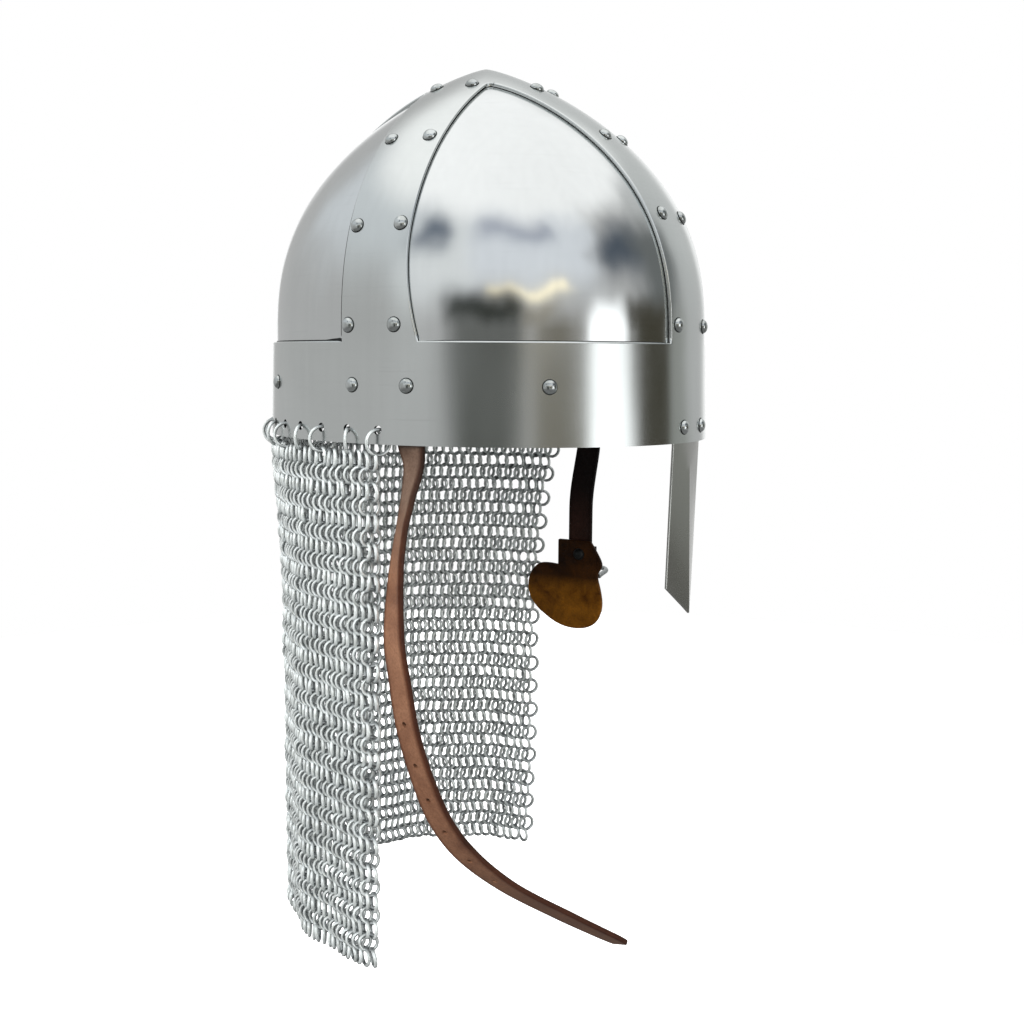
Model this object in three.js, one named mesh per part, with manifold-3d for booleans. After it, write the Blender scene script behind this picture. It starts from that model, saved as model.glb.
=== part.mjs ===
// Spangenhelm: a riveted steel helmet with a nose guard, a mail curtain and two leather straps.
// Millimetres, +Z up, nose guard towards -Y, wearer's right at -X.
// The origin is the centre of the rim, in the plane of the brow band's lower edge.
import * as THREE from 'three';
import { mergeVertices } from 'three/addons/utils/BufferGeometryUtils.js';
import Module from 'manifold-3d';

const wasm = await Module();
wasm.setup();

// Bowl
const halfWidth = 101;
const halfLength = 118;
const crownHeight = 186.5;
const browHeight = 47.2;
const browTaper = 0.012;
const crownFullness = 2.54;
const crownRounding = 0.838;
const sheet = 1.6;
const fitGap = 0.3;
const wallColumns = 36;
const crownRises = [0.207, 0.408, 0.6, 0.76, 0.86, 0.955];

// Spangen and windows
const sideSpanHalf = 17.5;
const sideSpanShift = 2;
const endSpanHalf = 23;
const spanFlare = 7.5;
const flareHeight = 52;
const windowCorner = 5;

// Rivets: heights as shares of the crown's rise, spreads as shares of the spangen's half width
const spanRivets = [
  { sideRise: 0.052, sideSpread: 0.74, endRise: 0.06, endSpread: 0.7 },
  { sideRise: 0.379, sideSpread: 0.7, endRise: 0.436, endSpread: 0.52 },
  { sideRise: 0.684, sideSpread: 0.63, endRise: 0.713, endSpread: 0.42 },
  { sideRise: 0.903, sideSpread: 0.61, endRise: 0.896, endSpread: 0.36 },
];
const headRadius = 3.3;
const headHeight = 2.3;
const shankRadius = 1.5;
const tailRadius = 2.6;
const tailHeight = 1;
const rivetHole = 2.5;
const rivetSides = 5;
const drillSides = 4;
const tailGap = 0.6;
const browRivetHeight = 27;
const browRivetAngles = { rear: 41.2, side: 6.1, strap: -8.6, front: -41.7 };
const plateLap = 4.8;
const plateSkirt = 7;

// Nose guard
const nasalHalfWidth = 16.9;
const nasalDrop = 72;
const nasalPoint = 15;
const nasalTop = 16;
const nasalSheet = 2;
const nasalCreaseForward = 2;
const nasalEdgeBack = 2.1;
const nasalRivetSpread = 11;
const nasalRivetHeight = 7.5;

// Mail curtain
const curtainThickness = 5;
const curtainDropRight = 258;
const curtainDropLeft = 268;
const curtainStart = 2;
const curtainColumns = 28;
const curtainWaves = 7;
const curtainWaveDepth = 1.5;
const hangerCount = 20;
const hangerRadius = 6;
const hangerWire = 0.75;
const hangerTurn = 30;
const hangerHoleHeight = 6.5;
const hangerHole = 2.4;
const hangerRight = -1.3;
const hangerLeft = 1.5;
// Sections down the curtain: shares of the rim's half width and half length, edge angles in degrees
const curtainSections = [
  { drop: 0, side: 0.985, back: 0.985, right: -1.6, left: -0.5 },
  { drop: 0.06, side: 0.983, back: 0.965, right: -1.3, left: 2.2 },
  { drop: 0.16, side: 0.98, back: 0.935, right: -1.2, left: 5.3 },
  { drop: 0.28, side: 0.975, back: 0.918, right: -1, left: 7 },
  { drop: 0.45, side: 0.97, back: 0.912, right: -0.8, left: 8.4 },
  { drop: 0.72, side: 0.967, back: 0.91, right: 0, left: 8.8 },
  { drop: 1, side: 0.965, back: 0.91, right: 0.9, left: 9.8 },
];

// Straps
const strapWidth = 15;
const strapThickness = 2.8;
const strapTop = 36;
const strapHole = 1.3;
const strapHoleStart = 0.47;
const strapHolePitch = 20;
const strapHoles = 6;
const tipLength = 9;
// Route of the long strap's middle: reach along its own upright plane and drop below the rim, as
// shares of the whole drop, and the turn of its width in degrees, following the hang of the leather
const strapDrop = 270.6;
const strapHeading = new THREE.Vector3(0.848, -0.53, 0);
const strapLine = { x: -97, y: -14 };
const strapRimTurn = -28;
const strapRoute = [
  { reach: 0.0196, drop: 0.037, turn: -8 },
  { reach: 0.0096, drop: 0.0887, turn: 6 },
  { reach: -0.0018, drop: 0.1404, turn: 11 },
  { reach: -0.0115, drop: 0.1996, turn: 7 },
  { reach: -0.0181, drop: 0.2956, turn: -6 },
  { reach: -0.017, drop: 0.3511, turn: -12 },
  { reach: -0.0081, drop: 0.4102, turn: -15 },
  { reach: 0.0059, drop: 0.4952, turn: -18 },
  { reach: 0.0288, drop: 0.5765, turn: -21 },
  { reach: 0.0691, drop: 0.6763, turn: -28 },
  { reach: 0.1179, drop: 0.7465, turn: -31 },
  { reach: 0.1999, drop: 0.8241, turn: -26 },
  { reach: 0.3326, drop: 0.9165, turn: -27 },
  { reach: 0.4612, drop: 1, turn: -7 },
];
const shortStrapSettle = 50;
const shortStrapShift = 5.3;

// Buckle and guard
const barRadius = 1.5;
const barDrop = 90.6;
const foldRadius = barRadius + fitGap;
const returnLength = 17;
const buckleHalfWidth = 12.5;
const buckleReach = 17;
const buckleRim = 3;
const buckleSheet = 2.6;
const buckleTilt = 8;
const prongWidth = 2.6;
const prongWall = 1.4;
const prongReach = 18.5;
const slotHalf = prongWidth / 2 + 1.2;
const slotReach = 10;
const slotInner = 5.2;
const guardWidth = 51;
const guardHeight = 54.5;
const guardThickness = 2.5;
const guardDrop = 69;
const guardRivetDrop = 77.2;

const steel = { color: 0xb9bcbd, metalness: 1, roughness: 0.3 };
const darkSteel = { color: 0x8f9293, metalness: 1, roughness: 0.38 };
const mailSteel = { color: 0xa9adb0, metalness: 1, roughness: 0.42 };
const tanLeather = { color: 0x8a5236, metalness: 0, roughness: 0.6 };
const darkLeather = { color: 0x2c1813, metalness: 0, roughness: 0.6 };
const guardLeather = { color: 0x6b3d14, metalness: 0, roughness: 0.65 };

const helmet = new THREE.Group();
const degrees = THREE.MathUtils.degToRad;

function addMesh(name, geometry, finish) {
  const mesh = new THREE.Mesh(geometry, new THREE.MeshStandardMaterial(finish));
  mesh.name = name;
  helmet.add(mesh);
  return mesh;
}

// Closed mesh to manifold solid, and back
function solid(geometry) {
  const bare = geometry.clone();
  bare.deleteAttribute('normal');
  bare.deleteAttribute('uv');
  const merged = mergeVertices(bare, 1e-4);
  const mesh = new wasm.Mesh({
    numProp: 3,
    vertProperties: new Float32Array(merged.attributes.position.array),
    triVerts: new Uint32Array(merged.index.array),
  });
  return new wasm.Manifold(mesh);
}

function geometryOf(body) {
  const mesh = body.getMesh();
  const geometry = new THREE.BufferGeometry();
  geometry.setAttribute('position', new THREE.BufferAttribute(mesh.vertProperties, 3));
  geometry.setIndex(new THREE.BufferAttribute(mesh.triVerts, 1));
  geometry.computeVertexNormals();
  return geometry;
}

// Closed body through loops of equally many points; the end loops are capped
function loft(loops) {
  const points = loops.flat();
  const count = loops[0].length;
  const faces = [];
  for (let row = 0; row + 1 < loops.length; row += 1) {
    for (let i = 0; i < count; i += 1) {
      const a = row * count + i;
      const b = row * count + (i + 1) % count;
      faces.push(a, b, b + count, a, b + count, a + count);
    }
  }
  const last = (loops.length - 1) * count;
  for (const [a, b, c] of capFaces(loops[0])) faces.push(a, c, b);
  for (const [a, b, c] of capFaces(loops[loops.length - 1])) faces.push(last + a, last + b, last + c);
  const geometry = new THREE.BufferGeometry();
  geometry.setFromPoints(points);
  geometry.setIndex(faces);
  return volumeOf(geometry) < 0 ? turnedOut(geometry) : geometry;
}

// Triangles of an end loop, found in the plane that the loop spans most
function capFaces(loop) {
  const normal = new THREE.Vector3();
  loop.forEach((point, i) => {
    const next = loop[(i + 1) % loop.length];
    normal.add(new THREE.Vector3().crossVectors(point, next));
  });
  const size = normal.toArray().map(Math.abs);
  const flat = size.indexOf(Math.max(...size));
  const along = ['y', 'z', 'x'][flat];
  const up = ['z', 'x', 'y'][flat];
  const outline = loop.map((point) => new THREE.Vector2(point[along], point[up]));
  const forward = THREE.ShapeUtils.area(outline) > 0;
  const faces = THREE.ShapeUtils.triangulateShape(forward ? outline : [...outline].reverse(), []);
  if (forward) return faces;
  return faces.map((face) => face.map((i) => loop.length - 1 - i).reverse());
}

function volumeOf(geometry) {
  const points = geometry.attributes.position;
  const index = geometry.index.array;
  const corner = (i) => new THREE.Vector3().fromBufferAttribute(points, index[i]);
  let volume = 0;
  for (let i = 0; i < index.length; i += 3) {
    volume += corner(i).dot(corner(i + 1).cross(corner(i + 2)));
  }
  return volume / 6;
}

function turnedOut(geometry) {
  const index = geometry.index.array;
  for (let i = 0; i < index.length; i += 3) [index[i], index[i + 1]] = [index[i + 1], index[i]];
  return geometry;
}

// Share of the rim's size that the bowl keeps at a height
function reachAt(height) {
  if (height <= browHeight) return 1 - browTaper * height / browHeight;
  const rise = Math.min((height - browHeight) / (crownHeight - browHeight), 1);
  return (1 - browTaper) * (1 - rise ** crownFullness) ** crownRounding;
}

// Point on the bowl, sunk inwards by a depth; angle 0 is the wearer's left and 90 the back
function bowlPoint(angle, height, depth) {
  if (height >= crownHeight) return new THREE.Vector3(0, 0, crownHeight - depth);
  const reach = reachAt(height);
  const step = 0.25;
  const slope = (reachAt(height + step) - reachAt(height - step)) / (2 * step);
  const out = new THREE.Vector3(Math.cos(angle) / halfWidth, Math.sin(angle) / halfLength, -slope);
  out.normalize();
  const point = new THREE.Vector3(
    halfWidth * reach * Math.cos(angle),
    halfLength * reach * Math.sin(angle),
    height,
  );
  point.addScaledVector(out, -depth);
  if (height <= 0) point.z = height;
  return point;
}

const crownRise = crownHeight - browHeight;
const wallHeights = [0, browHeight, ...crownRises.map((rise) => browHeight + crownRise * rise), crownHeight];

// Columns of facets, turned so that the rivets sit away from their edges
function columnAngle(i) {
  return degrees(360 * (i + 0.5) / wallColumns);
}

// Faceted wall of the bowl between two depths, open at the rim
function bowlWall(outerDepth, innerDepth) {
  const points = [];
  const faces = [];
  const rows = wallHeights.length - 1;
  const layer = rows * wallColumns + 1;
  for (const depth of [outerDepth, innerDepth]) {
    for (let row = 0; row < rows; row += 1) {
      for (let i = 0; i < wallColumns; i += 1) {
        points.push(bowlPoint(columnAngle(i), wallHeights[row], depth));
      }
    }
    points.push(bowlPoint(0, crownHeight, depth));
  }
  for (let i = 0; i < wallColumns; i += 1) {
    const j = (i + 1) % wallColumns;
    for (let row = 0; row + 1 < rows; row += 1) {
      const a = row * wallColumns + i;
      const b = row * wallColumns + j;
      faces.push(a, b, b + wallColumns, a, b + wallColumns, a + wallColumns);
      faces.push(layer + b, layer + a, layer + b + wallColumns);
      faces.push(layer + b + wallColumns, layer + a, layer + a + wallColumns);
    }
    const top = (rows - 1) * wallColumns;
    faces.push(top + i, top + j, layer - 1);
    faces.push(layer + top + j, layer + top + i, 2 * layer - 1);
    faces.push(i, layer + j, j);
    faces.push(i, layer + i, layer + j);
  }
  const geometry = new THREE.BufferGeometry();
  geometry.setFromPoints(points);
  geometry.setIndex(faces);
  return geometry;
}

// Point on the facets of the wall, with the direction out of it
function wallSeat(angle, height, depth) {
  const turn = ((angle / degrees(360)) % 1 + 1) % 1 * wallColumns - 0.5 + wallColumns;
  const row = Math.max(wallHeights.findIndex((level) => level > height) - 1, 0);
  const up = (height - wallHeights[row]) / (wallHeights[row + 1] - wallHeights[row]);
  const across = turn % 1;
  const at = (sunk) => {
    const corner = (i, k) => bowlPoint(columnAngle(Math.floor(turn) + i), wallHeights[row + k], sunk);
    const low = corner(0, 0).lerp(corner(1, 0), across);
    return low.lerp(corner(0, 1).lerp(corner(1, 1), across), up);
  };
  const point = at(depth);
  const out = at(0).sub(at(sheet)).normalize();
  return { point, out };
}

// Prism that stands over the plan region beyond two spangen edges, in one quarter of the bowl
function quarterPrism(sideSign, endSign, sections, corner, cornerSteps) {
  const far = 2 * halfLength;
  const loops = sections.map(({ height, sideEdge, endEdge }) => {
    const loop = [];
    for (let i = 0; i <= cornerSteps; i += 1) {
      const turn = degrees(90 * i / cornerSteps);
      const x = endEdge + corner * (1 - Math.sin(turn));
      const y = sideEdge * endSign + corner * (1 - Math.cos(turn));
      loop.push(new THREE.Vector3(sideSign * x, endSign * y, height));
    }
    loop.unshift(new THREE.Vector3(sideSign * far, endSign * (sideEdge * endSign), height));
    loop.push(new THREE.Vector3(sideSign * endEdge, endSign * far, height));
    loop.push(new THREE.Vector3(sideSign * far, endSign * far, height));
    return loop;
  });
  return solid(loft(loops));
}

// Edge of a side spangen at a height, as a place along Y; its front edge flares at the brow band
function sideEdgeAt(endSign, height) {
  if (endSign > 0) return sideSpanShift + sideSpanHalf;
  const low = Math.max(0, 1 - (height - browHeight) / flareHeight);
  return sideSpanShift - sideSpanHalf - spanFlare * low * low;
}

function windowCutter(sideSign, endSign) {
  const steps = 3;
  const sections = [];
  for (let i = 0; i <= steps; i += 1) {
    const height = browHeight + flareHeight * i / steps;
    sections.push({ height, sideEdge: sideEdgeAt(endSign, height), endEdge: endSpanHalf });
  }
  const top = 2 * crownHeight;
  sections.push({ height: top, sideEdge: sideEdgeAt(endSign, top), endEdge: endSpanHalf });
  return quarterPrism(sideSign, endSign, sections, windowCorner, 3);
}

// Plate region: the window grown to pass under the rivets
const innerSideSpread = sideSpanHalf * Math.min(...spanRivets.map((level) => level.sideSpread));
const innerEndSpread = endSpanHalf * Math.min(...spanRivets.map((level) => level.endSpread));

function plateRegion(sideSign, endSign) {
  const sideEdge = sideSpanShift + endSign * (innerSideSpread - plateLap);
  const endEdge = innerEndSpread - plateLap;
  const heights = [browRivetHeight - plateSkirt, 2 * crownHeight];
  const sections = heights.map((height) => ({ height, sideEdge, endEdge }));
  return quarterPrism(sideSign, endSign, sections, plateLap / 2, 1);
}

// Rivet along +Z with its seat at z = 0: domed head above, peened tail under the stack
function rivetGeometry(stack) {
  const profile = [
    [0, headHeight],
    [headRadius, 0],
    [shankRadius, 0],
    [shankRadius, -stack],
    [tailRadius, -stack],
    [0, -stack - tailHeight],
  ].map(([radius, height]) => new THREE.Vector2(radius, height));
  profile.reverse();
  const geometry = new THREE.LatheGeometry(profile, rivetSides);
  geometry.rotateX(Math.PI / 2);
  return geometry;
}

// Cylinder through the wall at a seat
function wallDrill(seat, radius, length) {
  const cylinder = new THREE.CylinderGeometry(radius, radius, length, drillSides);
  cylinder.rotateX(Math.PI / 2);
  const turn = new THREE.Quaternion().setFromUnitVectors(new THREE.Vector3(0, 0, 1), seat.out);
  cylinder.applyQuaternion(turn);
  cylinder.translate(...seat.point);
  return solid(cylinder);
}

function placeRivet(name, seat, stack) {
  const mesh = addMesh(name, rivetGeometry(stack + fitGap + tailGap), darkSteel);
  mesh.quaternion.setFromUnitVectors(new THREE.Vector3(0, 0, 1), seat.out);
  mesh.position.copy(seat.point).addScaledVector(seat.out, fitGap);
}

const sideNames = { '-1': 'right', 1: 'left' };
const plateStack = 2 * sheet + fitGap;
const seats = [];

// Spangen rivets, two columns on each of the four spangen
spanRivets.forEach((level, i) => {
  for (const sign of [-1, 1]) {
    for (const column of [-1, 1]) {
      const sideHeight = browHeight + crownRise * level.sideRise;
      const sideY = sideSpanShift + column * sideSpanHalf * level.sideSpread;
      const sideTurn = Math.asin(sideY / (halfLength * reachAt(sideHeight)));
      const sideAngle = sign > 0 ? sideTurn : Math.PI - sideTurn;
      const sideName = `rivet_${sideNames[sign]}_${column < 0 ? 'front' : 'rear'}_${i + 1}`;
      seats.push({ name: sideName, seat: wallSeat(sideAngle, sideHeight, 0), stack: plateStack });
      const endHeight = browHeight + crownRise * level.endRise;
      const endX = column * endSpanHalf * level.endSpread;
      const endTurn = Math.acos(endX / (halfWidth * reachAt(endHeight)));
      const endName = `rivet_${sign < 0 ? 'front' : 'back'}_${sideNames[column]}_${i + 1}`;
      seats.push({ name: endName, seat: wallSeat(sign * endTurn, endHeight, 0), stack: plateStack });
    }
  }
});

// Brow rivets; the strap's rivet also passes through the leather
const strapStack = plateStack + fitGap + strapThickness + fitGap;
for (const [place, angle] of Object.entries(browRivetAngles)) {
  for (const sign of [-1, 1]) {
    const wallAngle = sign > 0 ? degrees(angle) : Math.PI - degrees(angle);
    const stack = place === 'strap' ? strapStack : plateStack;
    const seat = wallSeat(wallAngle, browRivetHeight, 0);
    seats.push({ name: `rivet_brow_${place}_${sideNames[sign]}`, seat, stack });
  }
}

for (const sign of [-1, 1]) {
  const angle = -Math.acos(sign * nasalRivetSpread / halfWidth);
  const seat = wallSeat(angle, nasalRivetHeight, 0);
  seats.push({ name: `rivet_nasal_${sideNames[sign]}`, seat, stack: sheet + nasalSheet + 5 * fitGap });
}

// Hanger holes and rings, evenly spaced round the back of the rim
function rimPlace(angle) {
  return new THREE.Vector3(halfWidth * Math.cos(angle), halfLength * Math.sin(angle), 0);
}

function evenAngles(first, last, count) {
  const steps = 720;
  const lengths = [0];
  for (let i = 1; i <= steps; i += 1) {
    const before = rimPlace(first + (last - first) * (i - 1) / steps);
    lengths.push(lengths[i - 1] + before.distanceTo(rimPlace(first + (last - first) * i / steps)));
  }
  return Array.from({ length: count }, (_, k) => {
    const goal = lengths[steps] * k / (count - 1);
    const at = Math.min(lengths.findIndex((length) => length >= goal - 1e-9), steps);
    return first + (last - first) * at / steps;
  });
}

const hangerAngles = evenAngles(degrees(hangerLeft), Math.PI - degrees(hangerRight), hangerCount);

// Frame: brow band and spangen in one sheet
const drillReach = 3 * (plateStack + strapThickness);
let frame = solid(bowlWall(0, sheet));
for (const sideSign of [-1, 1]) {
  for (const endSign of [-1, 1]) frame = frame.subtract(windowCutter(sideSign, endSign));
}
for (const { seat } of seats) frame = frame.subtract(wallDrill(seat, rivetHole, drillReach));
for (const angle of hangerAngles) {
  frame = frame.subtract(wallDrill(wallSeat(angle, hangerHoleHeight, 0), hangerHole, drillReach));
}
addMesh('frame', geometryOf(frame), steel);

// Plates behind the windows
const plateWall = solid(bowlWall(sheet + fitGap, 2 * sheet + fitGap));
for (const sideSign of [-1, 1]) {
  for (const endSign of [-1, 1]) {
    let plate = plateWall.intersect(plateRegion(sideSign, endSign));
    for (const { seat } of seats) plate = plate.subtract(wallDrill(seat, rivetHole, drillReach));
    const name = `plate_${endSign < 0 ? 'front' : 'rear'}_${sideNames[sideSign]}`;
    addMesh(name, geometryOf(plate), steel);
  }
}

for (const { name, seat, stack } of seats) placeRivet(name, seat, stack);

// Nose guard: creased strip inside the brow band, pointed below
function nasalLoop(edgeHeight, creaseHeight, forward, edgeBack) {
  const seat = halfLength - sheet - 2 * fitGap;
  const crease = -seat - forward;
  const edge = -seat * Math.sqrt(1 - (nasalHalfWidth / halfWidth) ** 2) + edgeBack;
  return [
    new THREE.Vector3(-nasalHalfWidth, edge, edgeHeight),
    new THREE.Vector3(0, crease, creaseHeight),
    new THREE.Vector3(nasalHalfWidth, edge, edgeHeight),
    new THREE.Vector3(nasalHalfWidth, edge + nasalSheet, edgeHeight),
    new THREE.Vector3(0, crease + nasalSheet, creaseHeight),
    new THREE.Vector3(-nasalHalfWidth, edge + nasalSheet, edgeHeight),
  ];
}

const browLean = halfLength * browTaper * nasalTop / browHeight;
let nasal = solid(loft([
  nasalLoop(nasalTop, nasalTop, -browLean, browLean),
  nasalLoop(0, 0, 0, 0),
  nasalLoop(-nasalDrop, -nasalDrop - nasalPoint, nasalCreaseForward, nasalEdgeBack),
]));
for (const { seat } of seats) nasal = nasal.subtract(wallDrill(seat, rivetHole, drillReach));
addMesh('nasal', geometryOf(nasal), steel);

// Mail curtain: one woven band with its hanger rings
function curtainShare(column, drop) {
  const next = curtainSections.findIndex((section) => section.drop >= drop - 1e-9);
  const above = curtainSections[Math.max(next - 1, 0)];
  const below = curtainSections[next];
  const part = below.drop > above.drop ? (drop - above.drop) / (below.drop - above.drop) : 0;
  return above[column] + (below[column] - above[column]) * part;
}

function curtainPoint(across, drop, offset) {
  const right = degrees(curtainShare('right', drop));
  const left = Math.PI - degrees(curtainShare('left', drop));
  const angle = right + (left - right) * across;
  const wave = curtainWaveDepth * drop * Math.sin(2 * Math.PI * curtainWaves * across);
  const alongX = -halfWidth * curtainShare('side', drop) * Math.cos(angle);
  const alongY = halfLength * curtainShare('back', drop) * Math.sin(angle);
  const out = new THREE.Vector3(-Math.cos(angle) / halfWidth, Math.sin(angle) / halfLength, 0).normalize();
  const length = curtainDropRight + (curtainDropLeft - curtainDropRight) * across;
  const point = new THREE.Vector3(alongX, alongY, -curtainStart - (length - curtainStart) * drop);
  return point.addScaledVector(out, offset + wave);
}

function curtainBody() {
  const loops = [];
  for (let i = 0; i <= curtainColumns; i += 1) {
    const loop = [];
    for (const section of curtainSections) {
      loop.push(curtainPoint(i / curtainColumns, section.drop, curtainThickness / 2));
    }
    for (const section of [...curtainSections].reverse()) {
      loop.push(curtainPoint(i / curtainColumns, section.drop, -curtainThickness / 2));
    }
    loops.push(loop);
  }
  return solid(loft(loops));
}

function hangerRing(angle, index) {
  const ring = new THREE.TorusGeometry(hangerRadius, hangerWire, 3, 8);
  ring.rotateX(Math.PI / 2);
  const { point, out } = wallSeat(angle, 0, sheet / 2);
  const turn = hangerTurn * (index % 2 === 0 ? 1 : -1);
  ring.rotateZ(Math.atan2(out.y, out.x) + degrees(turn));
  ring.translate(point.x, point.y, hangerHoleHeight + hangerWire / 2 - hangerRadius);
  return solid(ring);
}

let curtain = curtainBody();
hangerAngles.forEach((angle, index) => {
  curtain = curtain.add(hangerRing(angle, index));
});
addMesh('mail_curtain', geometryOf(curtain), mailSteel);

// Leather ribbon through middle points, with the direction of its width at each
function ribbon(stations, taper) {
  const loops = stations.map(({ point, wide, along }, i) => {
    const flat = new THREE.Vector3().crossVectors(wide, along).normalize();
    const half = taper(i) * strapWidth / 2;
    return [[-1, -1], [1, -1], [1, 1], [-1, 1]].map(([side, face]) => point.clone()
      .addScaledVector(wide, side * half)
      .addScaledVector(flat, face * strapThickness / 2));
  });
  return solid(loft(loops));
}

// Middle of a strap against the inside of the wall
const strapDepth = plateStack + 2 * fitGap + strapThickness / 2;
function strapSeat(sideSign, height) {
  const angle = degrees(browRivetAngles.strap);
  return wallSeat(sideSign > 0 ? angle : Math.PI - angle, height, strapDepth).point;
}

function drillStrap(body, sideSign) {
  const place = sideSign < 0 ? 'right' : 'left';
  const { seat } = seats.find(({ name }) => name === `rivet_brow_strap_${place}`);
  return body.subtract(wallDrill(seat, rivetHole, drillReach));
}

// Long strap: from the brow band in its own vertical plane, curling inwards to a pointed end
function longStrap() {
  const rim = strapSeat(-1, 0);
  const route = [strapSeat(-1, strapTop), strapSeat(-1, strapTop / 2), rim];
  for (const { reach, drop } of strapRoute) {
    const place = new THREE.Vector3(strapLine.x, strapLine.y, -drop * strapDrop);
    route.push(place.addScaledVector(strapHeading, reach * strapDrop));
  }
  const curve = new THREE.CatmullRomCurve3(route, false, 'centripetal');
  const steps = 27;
  const open = new THREE.Vector3(-strapHeading.y, strapHeading.x, 0).normalize();
  const stations = [];
  for (let i = 0; i <= steps; i += 1) {
    const point = curve.getPointAt(i / steps);
    const along = curve.getTangentAt(i / steps);
    const wide = open.clone().applyAxisAngle(along, degrees(routeTurn(-point.z / strapDrop)));
    wide.addScaledVector(along, -wide.dot(along)).normalize();
    stations.push({ point, wide, along });
  }
  const length = curve.getLength();
  const taper = (i) => {
    const left = length * (1 - i / steps);
    return left >= tipLength ? 1 : 0.35 + 0.65 * left / tipLength;
  };
  let body = ribbon(stations, taper);
  for (let i = 0; i < strapHoles; i += 1) {
    const at = strapHoleStart + i * strapHolePitch / length;
    const nearest = stations[Math.round(at * steps)];
    const out = new THREE.Vector3().crossVectors(nearest.wide, nearest.along).normalize();
    body = body.subtract(wallDrill({ point: nearest.point, out }, strapHole, 3 * strapThickness));
  }
  return drillStrap(body, -1);
}

// Turn of the long strap's width at a drop below the rim; flush with the wall above it
function routeTurn(drop) {
  const out = wallSeat(Math.PI - degrees(browRivetAngles.strap), 0, 0).out;
  const open = Math.atan2(strapHeading.x, -strapHeading.y);
  const flush = Math.atan2(out.y, out.x) + 1.5 * Math.PI - open;
  const wallTurn = -THREE.MathUtils.radToDeg(THREE.MathUtils.euclideanModulo(flush, 2 * Math.PI));
  const rows = [
    { drop: -strapTop / 2 / strapDrop, turn: wallTurn },
    { drop: 0, turn: strapRimTurn },
    ...strapRoute,
  ];
  const next = rows.findIndex((row) => row.drop >= drop);
  if (next < 0) return rows[rows.length - 1].turn;
  if (next === 0) return wallTurn;
  const above = rows[next - 1];
  const below = rows[next];
  return above.turn + (below.turn - above.turn) * (drop - above.drop) / (below.drop - above.drop);
}

addMesh('strap_long', geometryOf(longStrap()), tanLeather);

// Buckle's bar: outside the short strap, which folds round it
const shortRim = strapSeat(1, 0);
const barX = shortRim.x + strapThickness / 2 + foldRadius;
const barY = shortRim.y + shortStrapShift;
const barZ = -barDrop;

function shortStrap() {
  const top = strapSeat(1, strapTop);
  const flush = wallSeat(degrees(browRivetAngles.strap), 0, 0).out;
  const level = new THREE.Vector3().crossVectors(flush, new THREE.Vector3(0, 0, 1)).normalize();
  const square = new THREE.Vector3(0, -1, 0);
  const places = [top, top.clone().lerp(shortRim, 0.5), shortRim.clone()];
  for (let i = 1; i <= 4; i += 1) {
    const shift = THREE.MathUtils.smoothstep(i / 4, 0, 1);
    const y = shortRim.y + shortStrapShift * shift;
    places.push(new THREE.Vector3(shortRim.x, y, -shortStrapSettle * i / 4));
  }
  const turnRadius = foldRadius + strapThickness / 2;
  const foldSteps = 6;
  for (let i = 0; i <= foldSteps; i += 1) {
    const turn = Math.PI * (1 + i / foldSteps);
    const offset = new THREE.Vector3(Math.cos(turn), 0, Math.sin(turn)).multiplyScalar(turnRadius);
    places.push(new THREE.Vector3(barX, barY, barZ).add(offset));
  }
  places.push(new THREE.Vector3(barX + turnRadius, barY, barZ + returnLength));
  const stations = places.map((point, i) => {
    const before = places[Math.max(i - 1, 0)];
    const after = places[Math.min(i + 1, places.length - 1)];
    const along = after.clone().sub(before).normalize();
    const turned = THREE.MathUtils.smoothstep(-point.z, 0, shortStrapSettle);
    const wide = level.clone().lerp(square, turned).normalize();
    wide.addScaledVector(along, -wide.dot(along)).normalize();
    return { point, wide, along };
  });
  const body = drillStrap(ribbon(stations, () => 1), 1);
  const slotLow = barZ - 2 * turnRadius;
  const innerLow = [barX - 2 * turnRadius, barY - slotHalf, slotLow];
  const innerSlot = boxBetween(innerLow, [barX, barY + slotHalf, barZ + slotInner]);
  const outerHigh = [barX + 2 * turnRadius, barY + slotHalf, barZ + slotReach];
  const outerSlot = boxBetween([barX, barY - slotHalf, slotLow], outerHigh);
  return body.subtract(innerSlot).subtract(outerSlot).subtract(guardDrill());
}

function boxBetween(low, high) {
  const size = high.map((value, i) => value - low[i]);
  const box = new THREE.BoxGeometry(...size);
  box.translate(...low.map((value, i) => value + size[i] / 2));
  return solid(box);
}

// Guard: leather leaf on the inner side of the short strap
const guardOuter = barX - foldRadius - strapThickness - fitGap;
const guardInner = guardOuter - guardThickness;
const guardRivetSeat = {
  point: new THREE.Vector3(guardInner, barY - 1, -guardRivetDrop),
  out: new THREE.Vector3(-1, 0, 0),
};

function guardDrill() {
  return wallDrill(guardRivetSeat, rivetHole, 12 * strapThickness);
}

// Outline of the guard: shares of its width from the tab's corner, and of its height from the top
const guardOutline = [
  { across: -0.01, down: 0 },
  { across: 0.41, down: 0 },
  { across: 0.55, down: 0.2 },
  { across: 0.565, down: 0.28 },
  { across: 0.49, down: 0.37 },
  { across: 0.55, down: 0.55 },
  { across: 0.575, down: 0.72 },
  { across: 0.52, down: 0.88 },
  { across: 0.4, down: 0.97 },
  { across: 0.22, down: 1 },
  { across: 0.01, down: 0.975 },
  { across: -0.2, down: 0.87 },
  { across: -0.37, down: 0.73 },
  { across: -0.425, down: 0.56 },
  { across: -0.39, down: 0.41 },
  { across: -0.28, down: 0.29 },
  { across: -0.15, down: 0.275 },
  { across: -0.01, down: 0.285 },
];

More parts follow.
